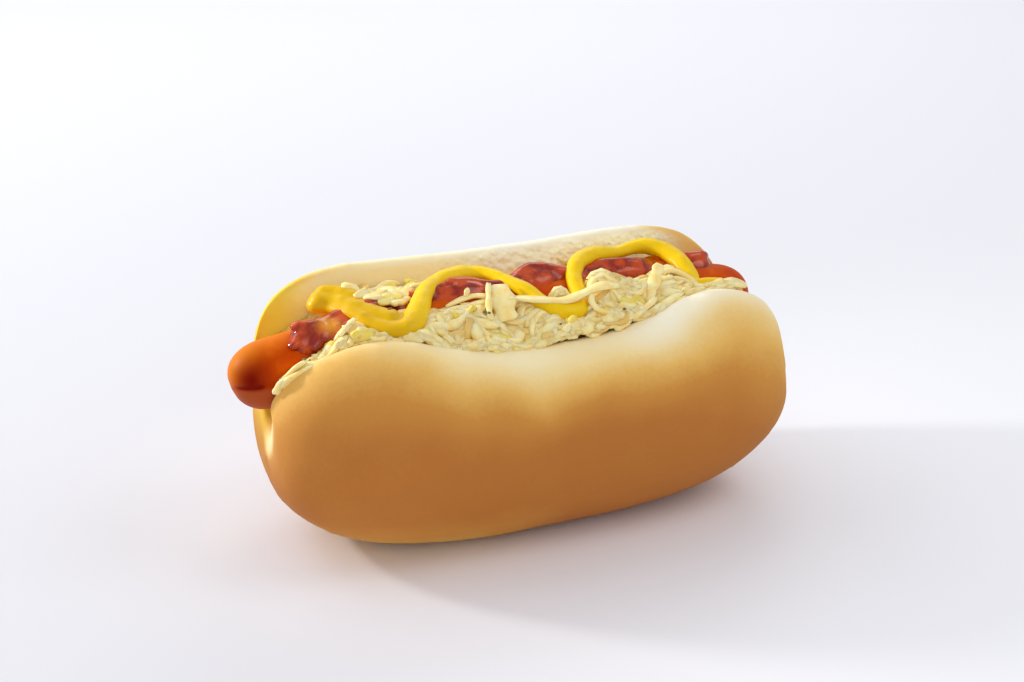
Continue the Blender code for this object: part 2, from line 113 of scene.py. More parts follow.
# how far down from the rim the crust starts to brown and is brown, at places along X
BAKE_ALONG = (-0.076, -0.06, -0.045, -0.019, -0.008, 0.006, 0.032, 0.047, 0.07)
BAKE_FROM = (-0.03, -0.028, -0.014, 0.008, -0.001, -0.001, 0.003, -0.012, -0.016)
BAKE_TO = (0.034, 0.035, 0.038, 0.038, 0.031, 0.033, 0.037, 0.046, 0.058)
BAKE_BLUR = (-0.015, -0.01, -0.005, 0.0, 0.005, 0.01, 0.015)
BACK_END_BAKE = {-1: 0.32, 1: 0.30}  # how brown the back half's left and right ends are
UNDER_PALING, OUTSIDE_BAKE = 0.45, 0.36
TORN_LEAST = 0.12  # how rough the cut still is at its smooth left end
PORE_SIZE, PORE_SEED, PORE_DEPTH = 0.0019, 5, 0.0004
BLISTER_SIZE, BLISTER_SEED, BLISTER_HEIGHT = 0.0085, 8, 0.0002
# faint upright stretch marks where the front half bends
BEND_AT, BEND_HALF_LENGTH, MARK_SHAPE = 0.03, 0.016, (1.0, 0.12, 0.12)
# mustard wiped on the back half's cut, and a painted glow of light on the back half's left end, which faces
# the camera
SMEAR_AT, SMEAR_SIZE, SMEAR_STRENGTH = (0.004, 0.0155, 0.0602), (0.007, 0.006, 0.0016), 0.55
GLOW_FACING, GLOW_STRENGTH, GLOW_LEAST = (-0.4, -0.85, 0.34), 0.85, 0.15

# Frankfurter, as in the frame's solid
SAUSAGE_RADIUS = 0.009
SAUSAGE_LEFT, SAUSAGE_RIGHT = -0.0812, 0.0705
SAUSAGE_MIDDLE, SAUSAGE_HALF = (SAUSAGE_LEFT + SAUSAGE_RIGHT) / 2, (SAUSAGE_RIGHT - SAUSAGE_LEFT) / 2
SAUSAGE_TOP_OF_BOW = 0.054
SAUSAGE_BOW = 0.0062
SAUSAGE_DROOP = 0.0022
DROOP_FROM, DROOP_LENGTH = -0.066, 0.019
SAUSAGE_SWAY, SWAY_LENGTH = 0.0012, 0.03
SAUSAGE_END = 1.15
SAUSAGE_END_POWER = 2.3  # how blunt its ends are, where 2 is an ellipse
SAUSAGE_RIGHT_LIFT = 0.0012
SAUSAGE_SIDES, SAUSAGE_STATIONS = 144, 260
TIP_CROWDING, TIP_GAP = 0.35, 1e-5  # how far stations crowd at the tips, and how far inside they start
# the crease where the skin was tied, across the left tip, in millimetres, and the dark patch above it
TIP_CREASE = (
    (-80.6, -3.6, 47.6), (-80.2, -5, 47.7), (-78.8, -6.6, 48.1), (-77.1, -7.9, 48.2), (-75.8, -8.6, 48.6),
)
TIP_CREASE_WIDTH, TIP_CREASE_DEPTH = 0.0007, 0.0007
# painted shade: the crease is painted darker as well as cut in
DARK_PATCH, DARK_PATCH_RADIUS, CREASE_SHADE = (-0.0778, -0.0072, 0.0502), 0.0052, 0.9
# painted shade: the skin under the crease at the left tip is painted darker
UNDERSIDE_SHADE_LENGTH = 0.013  # how far the darker underside reaches from the left tip
# painted light: the skin's side that faces the key is painted lighter and more orange
PAINTED_LIGHT_FACING, PAINTED_LIGHT_STRENGTH = (-0.76, 0.36, 0.54), 0.6  # the side that the key lights

# Sauces
KETCHUP_RADIUS = 0.0053
KETCHUP_LEFT, KETCHUP_RIGHT = -0.066, 0.06
KETCHUP_SINK = 0.0032
KETCHUP_OFFSET = 0.0018
KETCHUP_WANDER, WANDER_LENGTH = 0.0012, 0.0065
KETCHUP_RIPPLE, RIPPLE_LENGTH = 0.001, 0.004
BLOB_AT, BLOB_HALF_LENGTH = -0.06, 0.009
BLOB_FORWARD, BLOB_LIFT, BLOB_SWELL = 0.004, 0.0006, 0.12
KETCHUP_END, KETCHUP_END_LEAST = 0.0045, 0.001
# a painted orange reflection on the ketchup's left end
ORANGE_AT, ORANGE_RADIUS, ORANGE_STRENGTH = (-0.0565, -0.006, 0.0615), 0.0032, 0.85
BEAD_RADIUS, BEAD_REACH, BEAD_WAVE, BEAD_SINK = 0.002, 0.0016, 0.0031, 0.00064
FLATNESS = 0.8  # height of the bead and the runs as a share of their width
KETCHUP_STATIONS, KETCHUP_SMOOTHING = 220, 8
KETCHUP_SIDES = {"ridge": 18, "bead": 12, "run": 14}
# what ran down the frankfurter's front at the left end: points along each run, and its radius, in millimetres
KETCHUP_RUNS = (
    (((-60, -2, 61.2), (-64, -5.2, 59), (-67.5, -6.8, 57.2)), 2.3),
    (((-56, -3, 61.5), (-59.5, -7, 59.2), (-62.5, -9, 56.8)), 2.6),
    (((-53, -4, 61.4), (-56, -7.5, 59.6), (-58, -9.4, 57.8)), 2.2),
)
RUN_LEAST, RUN_ENDS, RUN_STEPS = 0.45, (0.05, 0.95), 8  # how thin each run is at its ends
MUSTARD_RADIUS = 0.0024
MUSTARD_UNEVEN, UNEVEN_LENGTH = 0.14, 0.0033
SPREAD_AT, SPREAD_HALF_LENGTH, SPREAD_SWELL = -0.045, 0.012, 0.3
# its strands: how wide and how high each is as shares of the radius, and its points in millimetres
MUSTARD_STRANDS = (
    # the zigzag
    (1.12, 0.9, (
        (-57.5, 8.5, 62.8), (-52, 5, 62.6), (-48.2, -3, 62.6), (-45.4, -8.8, 61.4), (-42.2, -12.4, 60.4),
        (-37.8, -12.8, 60.5), (-33.5, -8.5, 62.2), (-30, -3.5, 64), (-26.2, 1.2, 65), (-21.2, 5.5, 65),
        (-12.7, 8, 65), (-7, 4.5, 65), (-2.3, -4.5, 63.6), (1.2, -11.2, 60.6), (6, -15, 58.6),
        (10.6, -13.8, 59), (13.2, -8.5, 60.6), (14.7, -2.5, 63.2), (18.4, 3, 65.4), (24.5, 7, 65.4),
        (33, 9, 64.6), (42, 9.5, 65.4), (47, 6, 64.2), (48.8, 0.5, 62.4), (48.9, -4.5, 60),
        (47, -8.5, 57.2),
    )),
    # the pool at the left end, where the strands ran together
    (1.2, 0.85, (
        (-56.5, 8.8, 64), (-51, 5.5, 64), (-46.5, -1.2, 63.6), (-42.4, -7, 62.2), (-38, -9.4, 61.4),
    )),
    (1.00, 0.85, ((-54.5, 10.4, 65), (-49, 7, 65.3), (-44.6, 1.2, 64.6))),
    # the flatter one on top of it
    (1.05, 0.6, ((-50, 6.2, 65.2), (-47, 3.6, 64.8), (-44, 0.4, 64), (-41, -3, 62.6))),
    # the end that runs on under the frankfurter's right end
    (0.6, 0.45, ((48, -9.4, 59.2), (53, -10.8, 59.6), (57.5, -11.2, 58.8))),
)
MUSTARD_END, MUSTARD_END_LEAST = 0.003, 0.02  # length over which each end rounds off
MUSTARD_SIDES, MUSTARD_STEPS, MUSTARD_SMOOTHING = 16, 10, 6
SAUCE_VOXEL = 0.0004

# Sauerkraut
HEAP_LEFT, HEAP_RIGHT = -0.069, 0.066
HEAP_BOTTOM = 0.034
HEAP_INSET = 0.0003
HEAP_FRONT_HEIGHT = 0.0612
HEAP_BACK_HEIGHT = {"left": 0.0592, "right": 0.0552}
BACK_STEP_AT, BACK_STEP_LENGTH = -0.012, 0.004
FRONT_EDGE, BACK_EDGE = -0.004, 0.006
FRONT_SLOPE_FROM, FRONT_SLOPE = -0.01, 0.6
HEAP_WAVES = {"front": ((0.0014, 0.0085, 0), (0.001, 0.0031, 1)), "back": ((0.0012, 0.011, 2),)}
HEAP_MIDDLE, HEAP_LEVEL, HEAP_END, HEAP_END_DROP = -0.002, 0.05, 0.018, 0.0072
CORE_DROP = 0.0021  # how far the core lies under the heap's outline
CORE_STATIONS, CORE_POINTS = 260, 70
CORE_MARGIN = 0.001  # how far inside the heap's ends the core ends
CORE_GRAIN = (0.45, 1.0, 1.0)  # its relief is longer along X
CORE_TINT = 0.5
# where strips may lie, seen from above
HEAP_AREA, HEAP_GRID = ((-0.078, -0.026), (0.072, 0.0185)), 0.0005
RAY_FROM = 0.12  # a height above everything
STRIP_RISE = 0.0008  # how far the loose strips' middles lie above the heap's outline
WEDGE_AT, WEDGE_SLOPES = (-0.0725, -0.0094, 0.05), (0.62, 0.7)  # the heap's surface at its left end
BACK_RISE, BACK_RISE_AT, BACK_RISE_LENGTH = 0.004, -0.037, 0.018
RIM_MARGIN, RIM_OVERLAP = 0.0006, 0.0036  # how far strips reach over the front rim, and more where it sags
RIM_DROP, RIM_SLOPE = 0.0002, 1.0  # how the heap falls to the front rim
# where the strips in front end beside the frankfurter, and how much higher they rise there, at places along X
INNER_ALONG = (-0.075, -0.06, -0.05, -0.03, -0.012, -0.002, 0.012, 0.018, 0.044, 0.053, 0.07)
INNER_EDGE = (-0.01, -0.009, -0.0062, -0.0045, -0.0048, -0.0075, -0.0085, -0.0045, -0.0045, -0.0088, -0.0095)
INNER_RISE = (0.0, 0.0, 0.0002, -0.0004, 0.0, -0.0004, 0.0, 0.0017, 0.0014, -0.0022, -0.0032)
INNER_RISE_FROM = -0.014
BACK_STRIPS_FROM = 0.0066
SAUCE_SINK = 0.0006  # how far the sauces lie pressed into the strips
STRIP_STEP, STRIP_LEAST_STEPS = 0.001, 6
STRIP_STIFFNESS = 3  # rounds of smoothing along each strip
SEEDS = {"strips": 7, "yellow bits": 5, "herb": 11}
STRIP_PILE = (0.0, 0.0022)  # how far strips may pile up
STRIP_SINK = (-0.0014, 0.0004)
# each strip's bends: its phases, the waves of its heading and height, and how it turns about its length
STRIP_PHASE, STRIP_BEND = (0, 6), 0.9
STRIP_WOBBLE, WOBBLE_WAVES = (-0.5, 0.5), (5, 11)
STRIP_RIPPLE, RIPPLE_WAVES = (0.0, 0.0008), (6, 14)
STRIP_STEEPEST, STRIP_TURN, STRIP_TWIST = 0.8, 0.35, (-0.7, 0.7)
# how its ends narrow, how ragged its edges are, how its ends thin out, and how far it is cupped
END_NARROWING, NARROWING_POWER = (0.25, 0.6), (3, 7)
RAGGEDNESS, RAGGED_WAVES = 0.16, (7, 20)
END_THINNING, THINNING_POWER = 0.35, 6
STRIP_CUP = (-0.3, 0.3)
# its cross-section, as shares of its width and thickness
STRIP_SECTION = (
    (-0.5, 0.1), (-0.42, 0.42), (0.0, 0.5), (0.42, 0.42),
    (0.5, -0.1), (0.42, -0.42), (0.0, -0.5), (-0.42, -0.42),
)
# strips laid at random: how many, the spread of their headings, and ranges in millimetres: lengths, widths,
# thicknesses, places along X, and distances back from the front edge
STRIP_KINDS = (
    (150, 1.0, (7, 14), (2.2, 4), (1.3, 2), (-73, 62), (0, 18)),
    (240, 0.6, (11, 20), (1.6, 2.8), (1.2, 1.8), (-70, 60), (0, 17)),
    (110, 0.35, (15, 27), (1.4, 2.2), (1.1, 1.6), (-62, 58), (0, 15)),
    (170, 0.5, (4, 9), (2, 3.4), (1.2, 1.9), (-70, 60), (0, 3.5)),
    (170, 0.2, (3, 7), (1.8, 3), (1.2, 1.8), (-60, 55), (0, 1.4)),
    (210, 0.8, (6, 14), (1.6, 3), (1.1, 1.7), (-56, 48), (27, 38)),
)
# bits on the sauces behind the mustard's first loop: place, length and width in millimetres, and heading
SAUCE_BITS = (
    (-45.5, 5.8, 6, 2.8, -0.3), (-42.5, 3.6, 5.6, 2.6, 0.5), (-40, 1.2, 5, 2.6, -0.4),
    (-37, 0, 5.6, 2.4, 0.2), (-34.5, 2.2, 6, 2.6, -0.2), (-33.5, -0.2, 4, 2.2, 0.6),
    (-39, 4, 6.4, 2.4, 0.1), (-36, 5.6, 6, 2.6, 0.4), (-32, 5, 5, 2.4, -0.5), (-41.5, 6.8, 5.6, 2.4, -0.1),
    (-38.5, 2.4, 4.4, 2.2, 1.0), (-35, -1.2, 3.6, 1.8, 0.0), (-42.5, -0.8, 5, 2.4, -0.3),
    (-39.5, -2.4, 4.8, 2.2, 0.0), (-36.5, -3.4, 4.4, 2, 0.2), (-44.5, 1.6, 5, 2.4, 0.2),
)
SAUCE_BIT_THICKNESS, SAUCE_BIT_STEPS, SAUCE_BIT_TURN = 0.0014, 8, (0.3, 0.3)
PLACED_LIFT, PLACED_STEPS, PLACED_TINT = (0.0, -0.0005, 0.0007), 7, 0.5
# bits of cabbage that took up mustard: place seen from above, length and width in millimetres
YELLOW_BITS = (
    (-59, -11.2, 4.6, 2.6), (-50.5, -14, 6.4, 3), (-23.4, -11.2, 2.2, 1.6), (-19.3, -11.6, 2.2, 1.6),
    (5.4, -20, 2.8, 2), (16, -18, 3, 2.2), (23.6, -17.2, 5, 3.6), (27, -16, 3.6, 2.6),
    (59.5, -14, 4.6, 2.6), (-39.9, 12.5, 4.6, 2.8), (-32.8, 12.8, 4, 2.6), (-26.8, 12.5, 3.6, 2.2),
    (-45, 13, 5, 2.4), (-33, -15, 3, 2), (-13, -19, 3, 2.2),
)
YELLOW_THICKNESS, YELLOW_TURN = 0.0017, 0.3
HERB_FLECKS, HERB_RANGE, HERB_BANDS = 40, (-0.054, 0.05), ((-0.021, -0.007), (0.008, 0.014))
HERB_LENGTHS, HERB_WIDTHS, HERB_THICKNESS = (0.0006, 0.0018), (0.0003, 0.0008), 0.00022
HERB_HEADING, HERB_TURN, HERB_STEPS = 0.6, (0.5, 0.3), 4
# those that stand out, seen from above, and how much longer they are than the longest of the others
HERB_PLACES, HERB_LONGER = ((-0.0645, -0.0108), (-0.0158, -0.013)), 1.3
# strips that stand out in the heap: width, thickness, turn about the length, twist and points, in millimetres
PLACED_STRIPS = (
    # the long one that runs into a curl
    (2.8, 1.2, 0.25, 0.5, (
        (-7.4, -9.3, 62.4), (-0.7, -12.4, 61.8), (6, -13.8, 61), (11.5, -13.2, 61.8), (17, -13.3, 63.3),
        (22.5, -13.4, 62.6),
    )),
    # the lower half of the curl
    (2, 1.2, 0.3, -0.6, (
        (13.8, -14, 61.8), (13.2, -15.8, 60), (14.8, -17.6, 58.2), (19, -18.4, 57.2), (23.2, -16.6, 57.4),
    )),
    # the broad flake that leans on the ketchup, and the pale strip along its left edge
    (6.4, 0.9, 0.15, 0.3, ((-8.3, -4, 64.4), (-9.3, -8, 62.6), (-10.4, -12, 60.3), (-11.2, -15, 58.4))),
    (1.7, 1.4, 0.0, 0.5, ((-11, -3, 64.8), (-13.2, -8, 62.7), (-14.8, -12, 60.5), (-15.4, -14.5, 59))),
    # the thin ones across the ketchup
    (1.7, 1, 0.2, 0.6, ((-24.5, -6.2, 61.4), (-18.7, -5, 62.5), (-14.8, -5, 62.6), (-10.5, -5.8, 61.6))),
    (1.4, 0.9, 0.5, 0.4, ((-18.8, -5.2, 62.4), (-17.8, -4.2, 63.6), (-17.1, -3.4, 64.6))),
    # the spike at the right
    (3.2, 1, 0.3, 0.5, ((29.8, -15, 56.4), (33, -12.5, 60), (35.5, -10.2, 63.2), (37.2, -8.6, 65.4))),
    # the slanting ones beside it
    (1.8, 1.1, 0.4, 0.5, ((22.5, -20.7, 55.8), (27.8, -18.6, 57.3), (33, -14.8, 58.2))),
    (2, 1.1, 0.3, -0.4, ((25.6, -20.3, 55.6), (33, -18, 57), (40, -15, 58.2), (45, -13.5, 58.8))),
    # the chunk at the right end
    (4, 1.4, 0.2, 0.3, ((53.5, -12.6, 58.8), (58, -13, 58.6), (62.2, -12.8, 57.2))),
    # the spike behind the left end of the front rim
    (1.8, 1.2, 0.2, 0.4, ((-56, -11.6, 60), (-53.2, -10.2, 61.4), (-50.8, -9, 62.8))),
    # the wedge between the frankfurter's left end and the front half
    (4, 1.2, 0.7, 0.3, ((-64, -13.8, 53.8), (-68.5, -13.2, 51.5), (-72, -12.2, 48.6))),
    (4, 1.2, 0.8, 0.3, ((-69, -12.6, 51.2), (-71.5, -11.9, 49.5), (-73.2, -11.2, 46.8))),
    (4.2, 1.2, 0.6, 0.2, ((-65.5, -12.2, 54.8), (-68, -11.9, 53), (-70.5, -11.6, 50.8))),
)

# Noise: how far apart two seeds lie in it, and how the outlines of pits are bent, how large the largest are
# and how small those that are left out are
NOISE_SHIFT, PIT_SHIFT = (7.31, 3.17, 1.93), (5.13, 2.71, 8.37)
PIT_WARP, PIT_WARP_SCALE, PIT_WARP_SEED = 0.35, 1.7, 3
PIT_REACH, PIT_REACH_SCALE, PIT_LEAST = 0.55, 9.7, 0.15
# Relief by smooth noise: its height, the size of its blobs, seed and octaves
RELIEFS = {
    "coarse crumb": (0.0007, 0.0042, 3, 3),
    "fine crumb": (0.00035, 0.0016, 4, 2),
    "crust swell": (0.0004, 0.022, 1, 1),
    "crust grain": (0.0001, 0.005, 2, 2),
    "stretch marks": (0.00016, 0.0019, 9, 1),
    "bake edge": (0.0025, 0.018, 6, 2),
    "frankfurter": (0.00018, 0.011, 12, 2),
    "ketchup": (0.0003, 0.005, 21, 2),
    "mustard": (0.00025, 0.0045, 31, 2),
    "core": (0.0009, 0.0011, 41, 2),
    "core tint": (0.35, 0.004, 42, 1),
}
# Where a look sets in: the value at which there is none of it, and the value at which it is full
FADES = {
    # along X
    "crumb at left": (-0.068, -0.056), "crumb at right": (0.06, 0.046), "torn": (-0.03, 0.004),
    "under at left": (0.005, -0.03), "baked left end": (-0.05, -0.066), "baked right end": (0.04, 0.056),
    "pale back": (-0.03, 0.01), "pale front": (0.012, 0.034), "glow at left": (-0.05, -0.064),
    "right lift": (0.01, 0.06), "mustard_shade": (-0.03, -0.042),
    # along Y
    "back half": (-0.004, 0.004), "lower front": (0.003, -0.004),
    # along Z, and down from the frankfurter's crease
    "under": (0.017, 0.002), "glow above": (0.024, 0.048), "below crease": (-0.0004, 0.001),
    # by the way down from the rim
    "bend top": (0.001, 0.005), "bend foot": (0.03, 0.016), "outside": (0.0, 0.012),
    # by the mark on the cut faces, by how brown the crust is, and by the way that the surface faces
    "crumb": (0.45, 0.85), "pale": (0.3, 0.02), "glow facing": (-0.12, 0.42), "painted light facing": (0.2, 0.95),
}

# How strongly noise shows in the bread: clouds and grain in its baking, patches in its crumb, painted shade
# in its pores, and the finest grain in its bump
CLOUDS, GRAIN, PATCHES, PORE_SHADE_STRENGTH, FINEST = 0.2, 0.08, 0.2, 0.2, 0.4

# Colours, linear
CRUST_COLOURS = (
    (0.00, (0.95, 0.82, 0.5)), (0.22, (0.92, 0.7, 0.3)), (0.45, (0.82, 0.49, 0.12)),
    (0.7, (0.62, 0.275, 0.046)), (1.00, (0.49, 0.172, 0.027)),
)
PALE_CRUST, CRUMB, PALE_CRUMB = (0.96, 0.9, 0.7), (0.9, 0.71, 0.34), (0.99, 0.94, 0.64)
# the crumb's pore colour is painted shade; the stain colour serves both the mustard stain and a painted glow
# of light
CRUMB_PATCHES, PORE_SHADE_COLOUR, STAIN_AND_GLOW_COLOUR = (0.88, 0.77, 0.44), (0.76, 0.68, 0.42), (0.84, 0.64, 0.045)
SKIN_COLOURS = ((0.3, (0.5, 0.044, 0.001)), (0.55, (0.59, 0.072, 0.001)), (0.75, (0.69, 0.12, 0.003)))
# painted light on the skin's side toward the key, and painted shade on its underside at the left tip
SKIN_PAINTED_LIGHT, SKIN_UNDERSIDE_SHADE, SKIN_DARK = (0.74, 0.27, 0.004), (0.4, 0.075, 0.02), (0.19, 0.003, 0.0005)
KETCHUP_DEEP, KETCHUP_BRIGHT, KETCHUP_REFLECTION_ORANGE = (0.26, 0.011, 0.001), (0.58, 0.07, 0.003), (0.85, 0.34, 0.01)
MUSTARD_DEEP, MUSTARD_BRIGHT = (0.85, 0.54, 0.002), (0.93, 0.65, 0.003)
# painted shade: the mustard's pool at the left end is painted darker and browner
MUSTARD_PAINTED_SHADE, MUSTARD_FLECKS = (0.7, 0.42, 0.001), (0.74, 0.42, 0.006)
# cabbage: pale, deep and greenish
CABBAGE = ((1.0, 0.86, 0.42), (0.98, 0.71, 0.23), (0.97, 0.81, 0.24))
# the core's deeper colours: cabbage juice, and painted shade for the gaps between the strips
CORE_JUICE_AND_SHADE = ((0.84, 0.56, 0.15), (0.62, 0.34, 0.05), (0.7, 0.5, 0.07))
BROWNED_CABBAGE, YELLOW_DEEP, YELLOW_PALE = (0.84, 0.54, 0.14), (0.86, 0.6, 0.03), (0.93, 0.78, 0.22)
HERB_DARK, HERB_PALE = (0.07, 0.075, 0.012), (0.2, 0.17, 0.035)
FLOOR_COLOURS = ((0.9, 0.915, 0.96), (0.91, 0.925, 0.97))


# Small helpers


def end_taper(share, power):
    """How much of its size a rounded bar keeps at this share of its half-length."""
    return max(0.0, 1 - abs(share) ** power) ** (1 / power)


def bump(x, centre, half_length, power=2):
    """A smooth hump along x: 1 at its centre, falling to 0 past its half-length. Takes arrays too."""
    return np.exp(-(np.abs((x - centre) / half_length) ** power))


def smoothstep(low, high, x):
    """0 below low, 1 above high, and smooth between them. Takes arrays too."""
    t = np.clip((x - low) / (high - low), 0.0, 1.0)
    return t * t * (3 - 2 * t)


def fade(name, values):
    """How far a look has set in at these values, from 0 to 1."""
    return smoothstep(*FADES[name], values)


def metres(values):
    """Lengths that a table gives in millimetres."""
    return np.array(values, dtype=float) / 1000


def relief(places, name):
    """The height of a relief at each place."""
    height, size, seed, octaves = RELIEFS[name]
    shift = Vector([seed * step for step in NOISE_SHIFT])
    return height * np.array([noise.fractal(Vector(p) / size + shift, 1.0, 2.0, octaves) for p in places])


def pits_at(places, size, seed):
    """Scattered uneven pits of about this size: 1 in the middle of each, 0 outside them."""
    noise.seed_set(PIT_WARP_SEED)
    shift = Vector([seed * step for step in PIT_SHIFT])
    depths = []
    for place in places:
        spot = Vector(place) / size + shift
        spot += PIT_WARP * noise.noise_vector(spot * PIT_WARP_SCALE)
        distances, centres = noise.voronoi(spot)
        reach = PIT_REACH * abs(noise.cell(centres[0] * PIT_REACH_SCALE))
        depths.append(max(0.0, 1 - (distances[0] / reach) ** 2) if reach > PIT_LEAST else 0.0)
    return np.array(depths)


def smooth_path(points, steps):
    """A Catmull-Rom curve through points in millimetres, with this many steps from each to the next."""
    points = metres(points)
    ends = np.vstack((2 * points[0] - points[1], points, 2 * points[-1] - points[-2]))
    path = []
    for a, b, c, d in zip(ends, ends[1:], ends[2:], ends[3:]):
        for step in range(steps):
            t = step / steps
            square = (2 * a - 5 * b + 4 * c - d) * t**2
            cube = (3 * b - a - 3 * c + d) * t**3
            path.append((2 * b + (c - a) * t + square + cube) / 2)
    path.append(points[-1])
    return np.array(path)


def corners(mesh):
    """The places of a mesh's corners, and the ways that they face, as rows."""
    both = np.empty((2, len(mesh.vertices) * 3))
    mesh.vertices.foreach_get("co", both[0])
    mesh.vertices.foreach_get("normal", both[1])
    return both.reshape(2, -1, 3)


def distances(places, path):
    """How far each place is from the nearest point of the path."""
    return np.min([np.linalg.norm(places - point, axis=1) for point in np.atleast_2d(path)], axis=0)


def move_corners(mesh, places):
    mesh.vertices.foreach_set("co", np.asarray(places, dtype=float).ravel())
    mesh.update()


def roughen(mesh, name):
    """Gives a mesh its relief. Returns its corners as they were before."""
    places, out = corners(mesh)
    move_corners(mesh, places + out * relief(places, name)[:, None])
    return places


def read_values(mesh, name):
    values = np.empty(len(mesh.vertices))
    mesh.attributes[name].data.foreach_get("value", values)
    return values


def write_values(mesh, name, values):
    """Stores a number for each corner, which the materials read by this name."""
    layer = mesh.attributes.get(name) or mesh.attributes.new(name, "FLOAT", "POINT")
    layer.data.foreach_set("value", np.asarray(values, dtype=float))


def evaluated_mesh(obj):
    """The object's mesh with its modifiers applied. The object is removed."""
    bpy.context.view_layer.update()
    evaluated = obj.evaluated_get(bpy.context.evaluated_depsgraph_get())
    mesh = bpy.data.meshes.new_from_object(evaluated)
    bpy.data.objects.remove(obj)
    return mesh


def new_object(name, mesh):
    obj = bpy.data.objects.new(name, mesh)
    bpy.context.scene.collection.objects.link(obj)
    return obj


def new_piece(name, mesh, material, node):
    """A piece of the hot dog that stands for one of the frame's solids."""
    mesh.materials.clear()
    mesh.materials.append(material)
    mesh.shade_smooth()
    obj = new_object(name, mesh)
    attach(obj, BODY)
    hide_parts(node)
    return obj


def mesh_of_parts(name, parts):
    """One mesh of many parts, each a pair of its corners and its faces as rows of corner numbers."""
    places, faces, start = [], [], 0
    for part_places, part_faces in parts:
        places.append(np.asarray(part_places, dtype=float))
        faces.extend(tuple(start + i for i in face) for face in part_faces)
        start += len(part_places)
    mesh = bpy.data.meshes.new(name)
    mesh.from_pydata(np.vstack(places).tolist(), [], faces)
    mesh.update()
    shape = bmesh.new()
    shape.from_mesh(mesh)
    bmesh.ops.recalc_face_normals(shape, faces=shape.faces)
    shape.to_mesh(mesh)
    shape.free()
    return mesh


def loft_faces(stations, sides, first=0):
    """Faces between rings of corners, with both ends closed by one face."""
    faces = []
    for i in range(stations - 1):
        for j in range(sides):
            k = (j + 1) % sides
            a = first + i * sides
            faces.append((a + j, a + sides + j, a + sides + k, a + k))
    faces.append(tuple(first + j for j in range(sides)))
    last = first + (stations - 1) * sides
    faces.append(tuple(last + j for j in reversed(range(sides))))
    return faces


def frames_along(path, up=(0.0, 0.0, 1.0)):
    """Direction, side and top of a path at each of its points, with the side kept level."""
    path = np.asarray(path)
    ahead = np.gradient(path, axis=0)
    ahead /= np.linalg.norm(ahead, axis=1)[:, None]
    side = np.cross(np.array(up), ahead)
    side /= np.maximum(np.linalg.norm(side, axis=1), 1e-9)[:, None]
    return ahead, side, np.cross(ahead, side)


def swept(path, half_widths, half_heights, sides=16):
    """An oval bar along a path, as corners and faces."""
    path = np.asarray(path)
    _, side, top = frames_along(path)
    turns = np.linspace(0, 2 * math.pi, sides, endpoint=False)
    across = np.cos(turns)[None, :, None] * np.asarray(half_widths)[:, None, None] * side[:, None, :]
    upward = np.sin(turns)[None, :, None] * np.asarray(half_heights)[:, None, None] * top[:, None, :]
    places = (path[:, None, :] + across + upward).reshape(-1, 3)
    return places, loft_faces(len(path), sides)


def blended(name, parts, voxel, rounds):
    """The parts as one skin without seams, smoothed this many times."""
    obj = new_object(name, mesh_of_parts(name, parts))
    skin = obj.modifiers.new("Skin", "REMESH")
    skin.mode = "VOXEL"
    skin.voxel_size = voxel
    smooth = obj.modifiers.new("Smooth", "SMOOTH")
    smooth.factor = 0.5
    smooth.iterations = rounds
    return evaluated_mesh(obj)


# Material helpers


def node(tree, kind, inputs=(), **settings):
    """A shader node. Each of its inputs is a value, or the socket that feeds it."""
    made = tree.nodes.new("ShaderNode" + kind)
    for key, value in settings.items():
        setattr(made, key, value)
    for key, value in dict(inputs).items():
        if isinstance(value, bpy.types.NodeSocket):
            tree.links.new(value, made.inputs[key])
        else:
            made.inputs[key].default_value = value
    return made


def attribute(tree, name):
    return node(tree, "Attribute", attribute_name=name).outputs["Fac"]


def math_node(tree, operation, *values):
    return node(tree, "Math", enumerate(values), operation=operation).outputs[0]


def noise_node(tree, scale, detail=2.0):
    place = node(tree, "TexCoord").outputs["Object"]
    return node(tree, "TexNoise", {"Vector": place, "Scale": scale, "Detail": detail}).outputs[0]


def ramp(tree, factor, stops):
    """A colour ramp: each stop is a place from 0 to 1 and a linear colour."""
    made = node(tree, "ValToRGB", {"Fac": factor})
    elements = made.color_ramp.elements
    while len(elements) < len(stops):
        elements.new(0.5)
    for element, (place, colour) in zip(elements, stops):
        element.position = place
        element.color = (*colour, 1.0)
    return made.outputs["Color"]


def mixed(tree, factor, a, b):
    """Colour a turning into colour b as the factor goes from 0 to 1."""
    values = [(*v, 1.0) if isinstance(v, tuple) else v for v in (a, b)]
    made = node(tree, "Mix", {0: factor, 6: values[0], 7: values[1]}, data_type="RGBA")
    return made.outputs[2]


def spread(tree, value, low, high):
    """The value, stretched so that low becomes 0 and high becomes 1."""
    inputs = {"Value": value, "From Min": low, "From Max": high}
    return node(tree, "MapRange", inputs, interpolation_type="SMOOTHSTEP").outputs[0]


def new_material(name, **values):
    """A material whose shader has these values, its tree and its shader."""
    made = bpy.data.materials.new(name)
    made.use_nodes = True
    shader = made.node_tree.nodes["Principled BSDF"]
    for key, value in values.items():
        shader.inputs[key.replace("_", " ").title().replace("Ior", "IOR")].default_value = value
    return made, made.node_tree, shader


def set_colour(tree, shader, colour):
    tree.links.new(colour, shader.inputs["Base Color"])


def set_bump(tree, shader, height, strength, distance):
    inputs = {"Height": height, "Strength": strength, "Distance": distance}
    tree.links.new(node(tree, "Bump", inputs).outputs["Normal"], shader.inputs["Normal"])


# Materials


